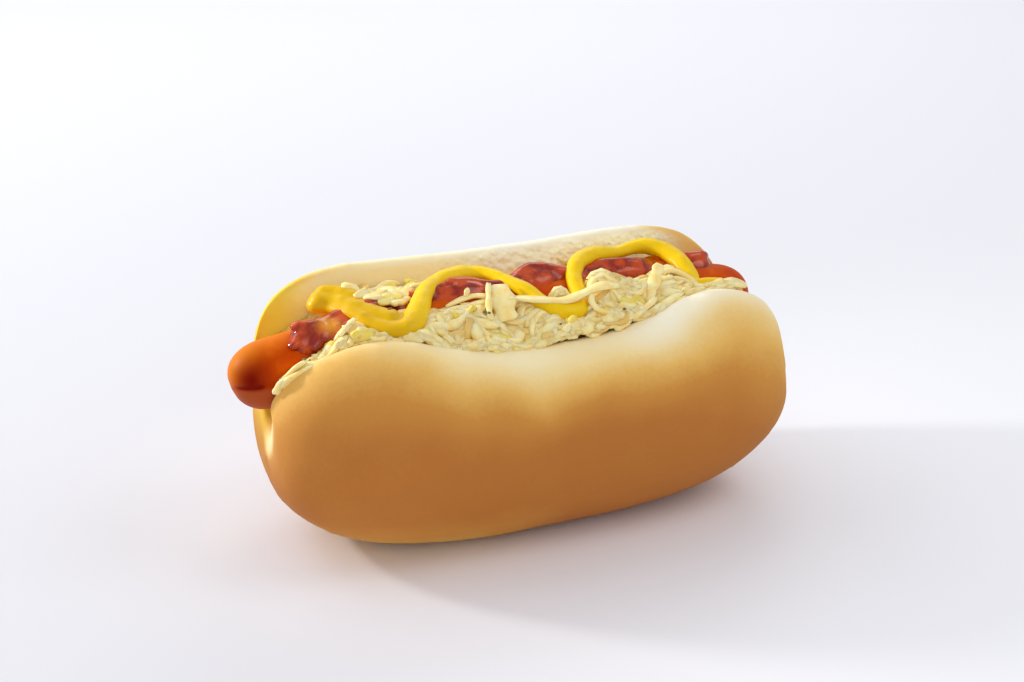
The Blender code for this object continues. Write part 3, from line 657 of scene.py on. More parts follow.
def bread_material():
    """Crust that goes from pale cream at the rims to brown below, and dry crumb on the cut faces."""
    made, tree, shader = new_material(
        "bread", roughness=0.72, specular_ior_level=0.25,
        subsurface_weight=0.10, subsurface_radius=(1.0, 0.85, 0.50), subsurface_scale=0.002,
    )
    bake, pale = attribute(tree, "bake"), attribute(tree, "pale")
    cloud = noise_node(tree, scale=55.0, detail=4.0)
    grain = noise_node(tree, scale=900.0, detail=3.0)
    uneven = math_node(tree, "MULTIPLY_ADD", cloud, CLOUDS, -CLOUDS / 2)
    fine = math_node(tree, "MULTIPLY_ADD", grain, GRAIN, -GRAIN / 2)
    baked = math_node(tree, "ADD", math_node(tree, "ADD", bake, uneven), fine)
    crust = mixed(tree, pale, ramp(tree, baked, CRUST_COLOURS), PALE_CRUST)
    crumb = mixed(tree, pale, CRUMB, PALE_CRUMB)
    patches = math_node(tree, "MULTIPLY", spread(tree, cloud, low=0.40, high=0.62), PATCHES)
    crumb = mixed(tree, patches, crumb, CRUMB_PATCHES)
    # painted shade in the crumb's pores
    crumb = mixed(tree, math_node(tree, "MULTIPLY", attribute(tree, "pore_shade"), PORE_SHADE_STRENGTH), crumb, PORE_SHADE_COLOUR)
    colour = mixed(tree, attribute(tree, "cut"), crust, crumb)
    # mustard stain on the cut, and painted light: the glow on the back half's left end
    set_colour(tree, shader, mixed(tree, attribute(tree, "stain_and_glow"), colour, STAIN_AND_GLOW_COLOUR))
    finest = math_node(tree, "MULTIPLY", noise_node(tree, scale=2600.0), FINEST)
    set_bump(tree, shader, math_node(tree, "ADD", grain, finest), strength=0.10, distance=0.0004)
    return made


def frankfurter_material():
    made, tree, shader = new_material(
        "frankfurter_skin", roughness=0.50, specular_ior_level=0.10, specular_tint=(1.0, 0.45, 0.25, 1.0),
        subsurface_weight=0.05, subsurface_radius=(1.0, 0.20, 0.03), subsurface_scale=0.0010,
    )
    skin = ramp(tree, noise_node(tree, scale=160.0, detail=4.0), SKIN_COLOURS)
    # painted light on the side of the skin that faces the key
    skin = mixed(tree, attribute(tree, "painted_light"), skin, SKIN_PAINTED_LIGHT)
    # painted shade on the underside at the left tip
    skin = mixed(tree, attribute(tree, "lower"), skin, SKIN_UNDERSIDE_SHADE)
    # the dark patch, and painted shade in the crease
    set_colour(tree, shader, mixed(tree, attribute(tree, "dark"), skin, SKIN_DARK))
    set_bump(tree, shader, noise_node(tree, scale=900.0, detail=3.0), strength=0.08, distance=0.0003)
    return made


def ketchup_material():
    made, tree, shader = new_material(
        "ketchup", roughness=0.12, specular_ior_level=0.45,
        subsurface_weight=0.04, subsurface_radius=(1.0, 0.12, 0.02), subsurface_scale=0.0010,
    )
    cloud = spread(tree, noise_node(tree, scale=260.0, detail=3.0), low=0.36, high=0.64)
    colour = mixed(tree, cloud, KETCHUP_DEEP, KETCHUP_BRIGHT)
    # painted orange reflection near the left end
    set_colour(tree, shader, mixed(tree, attribute(tree, "orange_reflection"), colour, KETCHUP_REFLECTION_ORANGE))
    set_bump(tree, shader, noise_node(tree, scale=1200.0), strength=0.05, distance=0.0003)
    return made


def mustard_material():
    made, tree, shader = new_material(
        "mustard", roughness=0.32, specular_ior_level=0.16,
        subsurface_weight=0.12, subsurface_radius=(1.0, 0.7, 0.05), subsurface_scale=0.0015,
    )
    fleck = spread(tree, noise_node(tree, scale=2600.0), low=0.64, high=0.74)
    colour = mixed(tree, noise_node(tree, scale=200.0, detail=3.0), MUSTARD_DEEP, MUSTARD_BRIGHT)
    # painted shade on the mustard's left end
    colour = mixed(tree, attribute(tree, "mustard_shade"), colour, MUSTARD_PAINTED_SHADE)
    set_colour(tree, shader, mixed(tree, fleck, colour, MUSTARD_FLECKS))
    set_bump(tree, shader, noise_node(tree, scale=1500.0, detail=3.0), strength=0.06, distance=0.0002)
    return made


def cabbage_material(name, pale, deep, green):
    """Moist cabbage: each strip has its own tint, and is deeper in colour in places."""
    made, tree, shader = new_material(
        name, roughness=0.38, specular_ior_level=0.35, coat_weight=0.12, coat_roughness=0.18,
        subsurface_weight=0.25, subsurface_radius=(1.0, 0.75, 0.35), subsurface_scale=0.0018,
    )
    tint = attribute(tree, "tint")
    cloud = spread(tree, noise_node(tree, scale=330.0, detail=3.0), low=0.35, high=0.70)
    colour = mixed(tree, cloud, pale, deep)
    colour = mixed(tree, spread(tree, tint, low=0.91, high=0.99), colour, green)
    set_colour(tree, shader, mixed(tree, spread(tree, tint, low=0.16, high=0.01), colour, BROWNED_CABBAGE))
    set_bump(tree, shader, noise_node(tree, scale=1400.0, detail=3.0), strength=0.12, distance=0.0002)
    return made


def yellow_material():
    made, tree, shader = new_material(
        "mustard_cabbage", roughness=0.35, specular_ior_level=0.35,
        subsurface_weight=0.25, subsurface_radius=(1.0, 0.75, 0.2), subsurface_scale=0.0018,
    )
    set_colour(tree, shader, mixed(tree, noise_node(tree, scale=500.0, detail=3.0), YELLOW_DEEP, YELLOW_PALE))
    return made


def herb_material():
    made, tree, shader = new_material("herb", roughness=0.6)
    set_colour(tree, shader, mixed(tree, noise_node(tree, scale=900.0, detail=3.0), HERB_DARK, HERB_PALE))
    return made


# Roll


def dip(side, x):
    """How strongly a half's rim sags at x, from 0 to 1."""
    return float(bump(x, 0, DIP_HALF_LENGTH[side], power=4))


def crest_height(side, x):
    """Height of a half's rim at x."""
    middle = CREST_HEIGHT[side] - CREST_DIP[side] * dip(side, x)
    return WAIST_HEIGHT + (middle - WAIST_HEIGHT) * end_taper(x / ROLL_HALF_LENGTH, TOP_POWER[side])


def outer_point(side, angle, x):
    """A point of the roll's crust on one half, at this many degrees above the waist."""
    share = x / ROLL_HALF_LENGTH
    cosine, sine = math.cos(math.radians(angle)), math.sin(math.radians(angle))
    y = side * ROLL_HALF_WIDTH * end_taper(share, PLAN_POWER) * cosine ** (2 / OVAL_POWER)
    rise = abs(sine) ** (2 / OVAL_POWER)
    if sine < 0:
        z = WAIST_HEIGHT - UNDERSIDE_DEPTH * end_taper(share, UNDERSIDE_POWER) * rise
        return Vector((x, y, max(0.0, z)))
    crest = math.sin(math.radians(CREST_ANGLE[side])) ** (2 / OVAL_POWER)
    if side < 0:
        y -= FRONT_PUSH * dip(side, x) * rise
    return Vector((x, y, WAIST_HEIGHT + (crest_height(side, x) - WAIST_HEIGHT) * rise / crest))


def slot_point(side, depth, x):
    """A point of the cut face on one half, at this share of the way from the rim to the slot's floor."""
    rim = crest_height(side, x) - SLOT_RIM_DROP
    gap = SLOT_HALF_GAP[side] * end_taper(x / ROLL_HALF_LENGTH, PLAN_POWER) ** SLOT_END_POWER
    y = side * gap * (1 - depth) ** SLOT_WALL_POWER
    if side < 0:
        y -= FRONT_PUSH * dip(side, x) * (1 - depth)
    return Vector((x, y, SLOT_FLOOR_HEIGHT + (rim - SLOT_FLOOR_HEIGHT) * (1 - depth)))


def roll_ring(x):
    """The roll's cross-section at x, with the way down from the rim and a mark on the cut faces.

    It runs down the front crust, up the back crust, and through the slot.
    """
    crust, fallen = [], []
    for side in (-1, 1):
        turn = (CREST_ANGLE[side] - LOWEST_ANGLE) / (SIDE_POINTS - 1)
        points = [outer_point(side, CREST_ANGLE[side] - turn * i, x) for i in range(SIDE_POINTS)]
        steps = [0.0] + [(b - a).length for a, b in zip(points, points[1:])]
        falls = list(np.cumsum(steps))
        crust += points if side < 0 else points[::-1]
        fallen += falls if side < 0 else falls[::-1]
    depths = [(i + SLOT_FIRST) / SIDE_POINTS for i in range(SIDE_POINTS - 1)]
    slot = [slot_point(1, d, x) for d in depths] + [slot_point(-1, d, x) for d in reversed(depths)]
    marks = [0.0] * len(crust) + [1.0] * len(slot)
    return crust + slot, fallen + [0.0] * len(slot), marks


def end_crease(place):
    """The fold that the dough left across the roll's right end, as a push along X."""
    centre_y, centre_z = CREASE_CENTRE
    near = max(0.0, place.x / ROLL_HALF_LENGTH - CREASE_FROM) / (1 - CREASE_FROM)
    across = bump(place.z, centre_z + CREASE_SLOPE * (place.y - centre_y), CREASE_HALF_WIDTH)
    along = bump(place.y, centre_y, CREASE_HALF_LENGTH, power=4)
    return -CREASE_DEPTH * near * across * along


def end_setback(place):
    """How far the back half's ends stand back from those of the front half, as a push along X."""
    share = place.x / ROLL_HALF_LENGTH
    to_back = 0.5 + 0.5 * math.tanh(place.y / BACK_BLEND)
    return -BACK_SETBACK[1 if share > 0 else -1] * share**3 * to_back


def smooth_roll():
    """The roll's form as a fine mesh, which keeps each corner's way down from the rim and its cut mark."""
    widest = math.radians(STATION_SPREAD)
    turns = [widest * (2 * i / (STATIONS - 1) - 1) for i in range(STATIONS)]
    stations = [ROLL_HALF_LENGTH * LAST_STATION * math.sin(t) / math.sin(widest) for t in turns]
    cage = bmesh.new()
    fall_layer = cage.verts.layers.float.new("fall")
    cut_layer = cage.verts.layers.float.new("cut")
    rings = []
    for x in stations:
        ring = []
        for place, fall, mark in zip(*roll_ring(x)):
            vert = cage.verts.new(place)
            vert[fall_layer] = fall
            vert[cut_layer] = mark
            ring.append(vert)
        rings.append(ring)
    count = len(rings[0])
    for ring, following in zip(rings, rings[1:]):
        for i in range(count):
            j = (i + 1) % count
            cage.faces.new((ring[i], ring[j], following[j], following[i]))
    for ring in (rings[0], rings[-1]):
        for i in range(2 * SIDE_POINTS - 1):
            corners = [ring[i], ring[i + 1], ring[(count - i - 1) % count], ring[(count - i) % count]]
            cage.faces.new(list(dict.fromkeys(corners)))
    for vert in cage.verts:
        vert.co.x += end_crease(vert.co) + end_setback(vert.co)
    bmesh.ops.recalc_face_normals(cage, faces=cage.faces)
    mesh = bpy.data.meshes.new("roll_form")
    cage.to_mesh(mesh)
    cage.free()
    obj = new_object("roll_form", mesh)
    smooth = obj.modifiers.new("Smooth", "SUBSURF")
    smooth.levels = smooth.render_levels = ROLL_LEVELS
    return evaluated_mesh(obj)


def refine_cut_faces(mesh):
    """Makes the faces of the cut finer where they show."""
    fine = bmesh.new()
    fine.from_mesh(mesh)
    cut = fine.verts.layers.float["cut"]
    upper = [face for face in fine.faces if face.calc_center_median().z > CUT_FINE_ABOVE]
    shown = [face for face in upper if sum(v[cut] for v in face.verts) > CUT_FACE * len(face.verts)]
    edges = list({edge for face in shown for edge in face.edges})
    bmesh.ops.subdivide_edges(fine, edges=edges, cuts=CUT_CUTS, use_grid_fill=True)
    fine_verts = [v for v in fine.verts if v[cut] > CUT_CORNER and v.co.z > CUT_FINE_ABOVE]
    for _ in range(CUT_SMOOTHING):
        bmesh.ops.smooth_vert(
            fine, verts=fine_verts, factor=0.5, use_axis_x=True, use_axis_y=True, use_axis_z=True
        )
    fine.to_mesh(mesh)
    fine.free()


def bread():
    mesh = smooth_roll()
    refine_cut_faces(mesh)
    places, out = corners(mesh)
    fall = read_values(mesh, "fall")
    x, y, z = places.T
    at_back = fade("back half", y)
    back_crumb = fade("crumb at left", x) * fade("crumb at right", x)
    crumb = fade("crumb", read_values(mesh, "cut")) * (1 - at_back * (1 - back_crumb))
    torn = TORN_LEAST + (1 - TORN_LEAST) * fade("torn", x)
    pores = pits_at(places, PORE_SIZE, PORE_SEED)
    crumb_relief = torn * (relief(places, "coarse crumb") + relief(places, "fine crumb") - PORE_DEPTH * pores)
    blisters = BLISTER_HEIGHT * pits_at(places, BLISTER_SIZE, BLISTER_SEED)
    bend = bump(x, BEND_AT, BEND_HALF_LENGTH, power=4) * fade("bend top", fall) * fade("bend foot", fall)
    marks = relief(places * np.array(MARK_SHAPE), "stretch marks") * bend * (1 - at_back)
    crust_relief = relief(places, "crust swell") + relief(places, "crust grain") + blisters + marks
    places = places + out * (crumb * crumb_relief + (1 - crumb) * crust_relief)[:, None]
    places[:, 2] = np.maximum(places[:, 2], 0.0)
    move_corners(mesh, places)
    # how brown the crust is: pale at the rims, brown on the sides, and paler again under its left end
    starts, ends = (
        np.mean([np.interp(x + shift, BAKE_ALONG, depths) for shift in BAKE_BLUR], axis=0)
        for depths in (BAKE_FROM, BAKE_TO)
    )
    under = fade("under", z) * fade("under at left", x)
    end_bake = BACK_END_BAKE[1] * fade("baked right end", x) + BACK_END_BAKE[-1] * fade("baked left end", x)
    bake = smoothstep(starts, ends, fall + relief(places, "bake edge")) * (1 - UNDER_PALING * under)
    bake = np.maximum(bake + at_back * end_bake, OUTSIDE_BAKE * at_back * fade("outside", fall) * (1 - crumb))
    to_right = at_back * fade("pale back", x) + (1 - at_back) * fade("pale front", x)
    smear = [bump(along, middle, size) for along, middle, size in zip(places.T, SMEAR_AT, SMEAR_SIZE)]
    # painted light: a glow on the back half's left end where it faces the camera, fainter low down
    facing = fade("glow facing", out @ np.array(GLOW_FACING))
    glow = GLOW_STRENGTH * at_back * fade("glow at left", x) * facing
    glow *= GLOW_LEAST + (1 - GLOW_LEAST) * fade("glow above", z)
    write_values(mesh, "bake", bake)
    write_values(mesh, "cut", crumb)
    # painted shade in the pores
    write_values(mesh, "pore_shade", np.clip(crumb * pores * torn, 0, 1))
    write_values(mesh, "pale", np.maximum(crumb, fade("pale", bake)) * to_right)
    write_values(mesh, "stain_and_glow", SMEAR_STRENGTH * np.prod(smear, axis=0) + glow)
    return new_piece("bread", mesh, bread_material(), "roll")


# Frankfurter and sauces


def sausage_axis(x):
    """The frankfurter's axis, bowed up in the middle and a little drooping at its left tip."""
    share = (x - SAUSAGE_MIDDLE) / SAUSAGE_HALF
    droop = SAUSAGE_DROOP * max(0.0, (DROOP_FROM - x) / DROOP_LENGTH) ** 2
    y = SAUSAGE_SWAY * math.sin(x / SWAY_LENGTH)
    lift = SAUSAGE_RIGHT_LIFT * float(fade("right lift", x))
    return np.array((x, y, SAUSAGE_TOP_OF_BOW - SAUSAGE_BOW * share**2 - droop + lift))


def sausage_radius(x):
    """The frankfurter's radius: even along its length, and round at both ends."""
    inside = min(1.0, min(x - SAUSAGE_LEFT, SAUSAGE_RIGHT - x) / (SAUSAGE_END * SAUSAGE_RADIUS))
    return SAUSAGE_RADIUS * max(0.0, 1 - (1 - inside) ** SAUSAGE_END_POWER) ** (1 / SAUSAGE_END_POWER)


def frankfurter():
    # stations crowd at both tips, and lie evenly between them
    even = np.linspace(-1, 1, SAUSAGE_STATIONS)
    crowded = np.sin(np.linspace(-math.pi / 2, math.pi / 2, SAUSAGE_STATIONS))
    xs = SAUSAGE_MIDDLE + SAUSAGE_HALF * (TIP_CROWDING * crowded + (1 - TIP_CROWDING) * even)
    xs[0] += TIP_GAP
    xs[-1] -= TIP_GAP
    radii = [sausage_radius(x) for x in xs]
    form = swept([sausage_axis(x) for x in xs], radii, radii, SAUSAGE_SIDES)
    mesh = mesh_of_parts("frankfurter_form", [form])
    places, out = corners(mesh)
    crease = bump(distances(places, smooth_path(TIP_CREASE, RUN_STEPS)), 0, TIP_CREASE_WIDTH)
    push = relief(places, "frankfurter") - TIP_CREASE_DEPTH * crease
    move_corners(mesh, places + out * push[:, None])
    x, y, z = places.T
    first, last = metres(TIP_CREASE)[[0, -1]]
    # painted shade on the underside: below the crease, near the left tip, at the front
    below = fade("below crease", np.interp(x, (first[0], last[0]), (first[2], last[2])) - z)
    lower = below * bump(x, SAUSAGE_LEFT, UNDERSIDE_SHADE_LENGTH, power=4) * fade("lower front", y)
    patch = bump(distances(places, DARK_PATCH), 0, DARK_PATCH_RADIUS)
    # painted shade in the crease, and the dark patch above it
    write_values(mesh, "dark", np.clip(CREASE_SHADE * crease + patch * (1 - lower), 0, 1))
    write_values(mesh, "lower", lower)
    # painted light: how far each corner of the skin faces the key
    write_values(mesh, "painted_light", PAINTED_LIGHT_STRENGTH * fade("painted light facing", out @ np.array(PAINTED_LIGHT_FACING)))
    return new_piece("frankfurter_skin", mesh, frankfurter_material(), "frankfurter")


def rounded_end(from_end, length, least):
    """The share of its radius that a bar of sauce keeps at this distance from its end."""
    inside = np.clip(from_end / length, 0, 1)
    return np.sqrt(np.clip(1 - (1 - inside) ** 2, least, 1))


def ketchup():
    """The ridge along the frankfurter, with a finer wavy bead on it, and what ran down at its left end."""
    path, radii = [], []
    for x in np.linspace(KETCHUP_LEFT, KETCHUP_RIGHT, KETCHUP_STATIONS):
        blob = bump(x, BLOB_AT, BLOB_HALF_LENGTH)
        wander = KETCHUP_OFFSET + KETCHUP_WANDER * math.sin(x / WANDER_LENGTH) - BLOB_FORWARD * blob
        ripple = KETCHUP_RIPPLE * math.sin(x / RIPPLE_LENGTH) + BLOB_LIFT * blob
        path.append(sausage_axis(x) + np.array((0, wander, SAUSAGE_RADIUS - KETCHUP_SINK + ripple)))
        rounded = rounded_end(min(x - KETCHUP_LEFT, KETCHUP_RIGHT - x), KETCHUP_END, KETCHUP_END_LEAST)
        radii.append(KETCHUP_RADIUS * rounded * (1 + BLOB_SWELL * blob))
    path, radii = np.array(path), np.array(radii)
    bead = path + np.array((0, 0, KETCHUP_RADIUS - BEAD_SINK))
    bead[:, 1] += BEAD_REACH * np.sin(path[:, 0] / BEAD_WAVE)
    bead_radii = BEAD_RADIUS * radii / KETCHUP_RADIUS
    parts = [
        swept(path, radii, radii, KETCHUP_SIDES["ridge"]),
        swept(bead, bead_radii, bead_radii * FLATNESS, KETCHUP_SIDES["bead"]),
    ]
    for points, radius in KETCHUP_RUNS:
        run = smooth_path(points, RUN_STEPS)
        along = np.clip(np.linspace(0, 1, len(run)), *RUN_ENDS)
        run_radii = metres(radius) * (RUN_LEAST + (1 - RUN_LEAST) * np.sin(math.pi * along))
        parts.append(swept(run, run_radii, run_radii * FLATNESS, KETCHUP_SIDES["run"]))
    mesh = blended("ketchup_form", parts, SAUCE_VOXEL, KETCHUP_SMOOTHING)
    places = roughen(mesh, "ketchup")
    # a painted orange reflection near the ketchup's left end
    orange_reflection = bump(distances(places, ORANGE_AT), 0, ORANGE_RADIUS, power=3)
    write_values(mesh, "orange_reflection", ORANGE_STRENGTH * orange_reflection)
    return new_piece("ketchup", mesh, ketchup_material(), "frankfurter")


def mustard():
    """The zigzag, with the wide pool at its left end where strands ran together."""
    parts = []
    for width, height, points in MUSTARD_STRANDS:
        path = smooth_path(points, MUSTARD_STEPS)
        x = path[:, 0]
        pool = SPREAD_SWELL * bump(x, SPREAD_AT, SPREAD_HALF_LENGTH)
        swell = 1 + MUSTARD_UNEVEN * np.sin(x / UNEVEN_LENGTH)
        lengths = np.linalg.norm(np.diff(path, axis=0), axis=1)
        along = np.concatenate(([0.0], np.cumsum(lengths)))
        ends = rounded_end(np.minimum(along, along[-1] - along), MUSTARD_END, MUSTARD_END_LEAST)
        radii = MUSTARD_RADIUS * swell * ends
        parts.append(swept(path, radii * width * (1 + pool), radii * height, MUSTARD_SIDES))
    mesh = blended("mustard_form", parts, SAUCE_VOXEL, MUSTARD_SMOOTHING)
    places = roughen(mesh, "mustard")
    # painted shade: darker, browner mustard toward the left end
    write_values(mesh, "mustard_shade", fade("mustard_shade", places[:, 0]))
    return new_piece("mustard", mesh, mustard_material(), "frankfurter")


# Sauerkraut


def heap_height(x, y):
    """Height of the heap's outline: highest beside the frankfurter, low at the rims and at both ends."""
    waves = {part: sum(a * math.sin(x / b + c) for a, b, c in HEAP_WAVES[part]) for part in HEAP_WAVES}
    to_right = 1 / (1 + math.exp(-(x - BACK_STEP_AT) / BACK_STEP_LENGTH))
    left, right = HEAP_BACK_HEIGHT["left"], HEAP_BACK_HEIGHT["right"]
    front = HEAP_FRONT_HEIGHT + waves["front"]
    back = left + (right - left) * to_right + waves["back"]
    share = min(1.0, max(0.0, (y - FRONT_EDGE) / (BACK_EDGE - FRONT_EDGE)))
    to_rim = max(0.0, FRONT_SLOPE_FROM - y) * FRONT_SLOPE
    to_end = max(0.0, abs(x - HEAP_MIDDLE) - HEAP_LEVEL) / HEAP_END
    return front + (back - front) * share - to_rim - HEAP_END_DROP * to_end**2


def front_edge(x):
    """How far forward strips may reach: past the front rim, and further where it sags."""
    return slot_point(-1, 0.0, x).y - RIM_MARGIN - RIM_OVERLAP * dip(-1, x)


def heap_top(x, y):
    """Height of the heap under its loose strips: its outline, its rises, and the wedge at its left end."""
    x_slope, y_slope = WEDGE_SLOPES
    wedge = WEDGE_AT[2] + x_slope * (x - WEDGE_AT[0]) + y_slope * (y - WEDGE_AT[1])
    behind = smoothstep(FRONT_EDGE, BACK_EDGE, y) * bump(x, BACK_RISE_AT, BACK_RISE_LENGTH, power=4)
    inner = np.interp(x, INNER_ALONG, INNER_RISE) * smoothstep(INNER_RISE_FROM, FRONT_EDGE, y)
    at_rim = crest_height(-1, x) - RIM_DROP + RIM_SLOPE * (y - front_edge(x))
    return min(heap_height(x, y) + float(BACK_RISE * behind + inner), wedge, at_rim)


def heap_edge(side, height, x):
    """Where the heap ends at this height, just inside the roll's cut face."""
    rim = crest_height(side, x) - SLOT_RIM_DROP
    depth = 1 - (height - SLOT_FLOOR_HEIGHT) / (rim - SLOT_FLOOR_HEIGHT)
    return slot_point(side, max(0.0, depth), x).y - side * HEAP_INSET


def heap_core():
    """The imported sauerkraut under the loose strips."""
    places = []
    for x in np.linspace(HEAP_LEFT + CORE_MARGIN, HEAP_RIGHT - CORE_MARGIN, CORE_STATIONS):
        front, back = (
            heap_edge(side, heap_top(x, side * SLOT_HALF_GAP[side]) - CORE_DROP, x) for side in (-1, 1)
        )
        top = [(x, y, heap_top(x, y) - CORE_DROP) for y in np.linspace(front, back, CORE_POINTS)]
        places += top + [(x, heap_edge(side, HEAP_BOTTOM, x), HEAP_BOTTOM) for side in (1, -1)]
    mesh = mesh_of_parts("core_form", [(places, loft_faces(CORE_STATIONS, CORE_POINTS + 2))])
    places, out = corners(mesh)
    move_corners(mesh, places + out * relief(places * np.array(CORE_GRAIN), "core")[:, None])
    write_values(mesh, "tint", CORE_TINT + relief(places, "core tint"))
    # deeper colours for juice, and painted shade in the gaps between the strips
    material = cabbage_material("cabbage_juice_and_shade", *CORE_JUICE_AND_SHADE)
    return new_piece("sauerkraut_core", mesh, material, "sauerkraut")


class Surface:
    """Heights on a grid from above: the heap, what was laid on it, and the sauces' undersides and tops."""

    def __init__(self, solids, sauces, low, high, step):
        self.low, self.step = np.array(low), step
        self.shape = tuple(int((h - l) / step) + 1 for l, h in zip(low, high))
        self.tops, self.roofs, self.crowns = (np.zeros(self.shape) for _ in range(3))
        solid_trees, sauce_trees = ([tree_of(obj) for obj in pieces] for pieces in (solids, sauces))
        for i, j in np.ndindex(self.shape):
            x, y = low[0] + i * step, low[1] + j * step
            self.tops[i, j] = max((heap_top(x, y) + STRIP_RISE, *hit_heights(solid_trees, x, y, RAY_FROM)))
            self.roofs[i, j] = min((RAY_FROM, *hit_heights(sauce_trees, x, y, 0)))
            self.crowns[i, j] = max((0.0, *hit_heights(sauce_trees, x, y, RAY_FROM)))
        self.laid = self.tops.copy()

    def cells(self, places):
        indices = np.rint((places[:, :2] - self.low) / self.step).astype(int)
        return np.clip(indices[:, 0], 0, self.shape[0] - 1), np.clip(indices[:, 1], 0, self.shape[1] - 1)

    def lay(self, places, tops):
        np.maximum.at(self.laid, self.cells(places), tops)


def tree_of(obj):
    shape = bmesh.new()
    shape.from_mesh(obj.data)
    tree = BVHTree.FromBMesh(shape)
    shape.free()
    return tree


def hit_heights(trees, x, y, start):
    """Where an upright ray hits the meshes: it goes up from a start at 0, and down from a higher one."""
    toward = Vector((0, 0, -1 if start else 1))
    hits = [tree.ray_cast(Vector((x, y, start)), toward)[0] for tree in trees]
    return [hit.z for hit in hits if hit]


def strip_form(path, width, thickness, roll_turns, cup):
    """A strip of cabbage along a path: flat, with blunt edges, turning about its length and cupped."""
    _, side, top = frames_along(path)
    turns = np.asarray(roll_turns)[:, None]
    across = side * np.cos(turns) + top * np.sin(turns)
    through = top * np.cos(turns) - side * np.sin(turns)
    places = []
    for u, v in STRIP_SECTION:
        lift = cup * (4 * u * u - 0.5)  # a parabola, high at both edges and low in the middle
        places.append(path + across * (u * width)[:, None] + through * (v * thickness + lift)[:, None])
    return np.stack(places, axis=1).reshape(-1, 3), loft_faces(len(path), len(STRIP_SECTION))


def drawn_wave(draw, strengths, waves, along):
    """A wave along a strip whose strength, length and phase are drawn from ranges."""
    return draw.uniform(*strengths) * np.sin(along * draw.uniform(*waves) + draw.uniform(*STRIP_PHASE))


def uneven_strip(draw, path, width, thickness, turns):
    """A strip whose width and thickness vary along its length, and whose ends are narrower."""
    along = np.linspace(-0.5, 0.5, len(path))
    to_end = np.abs(2 * along)
    taper = 1 - draw.uniform(*END_NARROWING) * to_end ** draw.uniform(*NARROWING_POWER)
    ragged = 1 + RAGGEDNESS * np.sin(along * draw.uniform(*RAGGED_WAVES) + draw.uniform(*STRIP_PHASE))
    thicknesses = thickness * (1 - END_THINNING * to_end**THINNING_POWER)
    return strip_form(path, width * taper * ragged, thicknesses, turns, draw.uniform(*STRIP_CUP) * thickness)


def in_heap(x, y):
    """Whether a strip may reach this place: in front of the frankfurter or behind it."""
    in_front = front_edge(x) < y < np.interp(x, INNER_ALONG, INNER_EDGE)
    behind = BACK_STRIPS_FROM < y < slot_point(1, 0.1, x).y
    return in_front or behind


def lay_strip(surface, draw, centre, length, width, thickness, heading):
    """A strip in the heap's top, partly sunk in it and under the sauces. None where it would stick out."""
    steps = max(STRIP_LEAST_STEPS, int(length / STRIP_STEP))
    along = np.linspace(-0.5, 0.5, steps)
    wobble = drawn_wave(draw, STRIP_WOBBLE, WOBBLE_WAVES, along)
    angles = heading + draw.gauss(0.0, STRIP_BEND) * along + wobble
    ahead = np.stack((np.cos(angles), np.sin(angles), np.zeros(steps)), axis=1)
    path = np.cumsum(ahead, axis=0) * length / (steps - 1)
    path += np.array((*centre, 0.0)) - path.mean(axis=0)
    if not all(in_heap(x, y) for x, y in path[:, :2]):
        return None
    sideways = np.stack((-ahead[:, 1], ahead[:, 0], np.zeros(steps)), axis=1) * width / 2
    tracks = [surface.cells(path + s * sideways) for s in (-1.0, 0.0, 1.0)]
    right, level, left = (surface.tops[track] for track in tracks)
    roof = np.min([surface.roofs[track] for track in tracks], axis=0) + SAUCE_SINK - thickness / 2
    wave = drawn_wave(draw, STRIP_RIPPLE, RIPPLE_WAVES, along)
    pile = surface.laid[tracks[1]] - level
    level = level + np.minimum(pile, draw.uniform(*STRIP_PILE)) + draw.uniform(*STRIP_SINK) + wave
    for _ in range(STRIP_STIFFNESS):
        level[1:-1] = 0.5 * level[1:-1] + 0.25 * (level[2:] + level[:-2])
        level = np.minimum(level, roof)
    path[:, 2] = level
    slope = np.clip(np.arctan2(left - right, width), -STRIP_STEEPEST, STRIP_STEEPEST)
    turns = slope + draw.gauss(0.0, STRIP_TURN) + draw.uniform(*STRIP_TWIST) * along * 2
    surface.lay(path, np.where(level < roof, level + thickness / 2, 0.0))
    return uneven_strip(draw, path, width, thickness, turns)


def level_path(x, y, length, heading, steps):
    """A straight path at height 0 with its middle at x and y."""
    along = np.linspace(-0.5, 0.5, steps) * length
    return np.stack((x + along * math.cos(heading), y + along * math.sin(heading), 0 * along), axis=1)


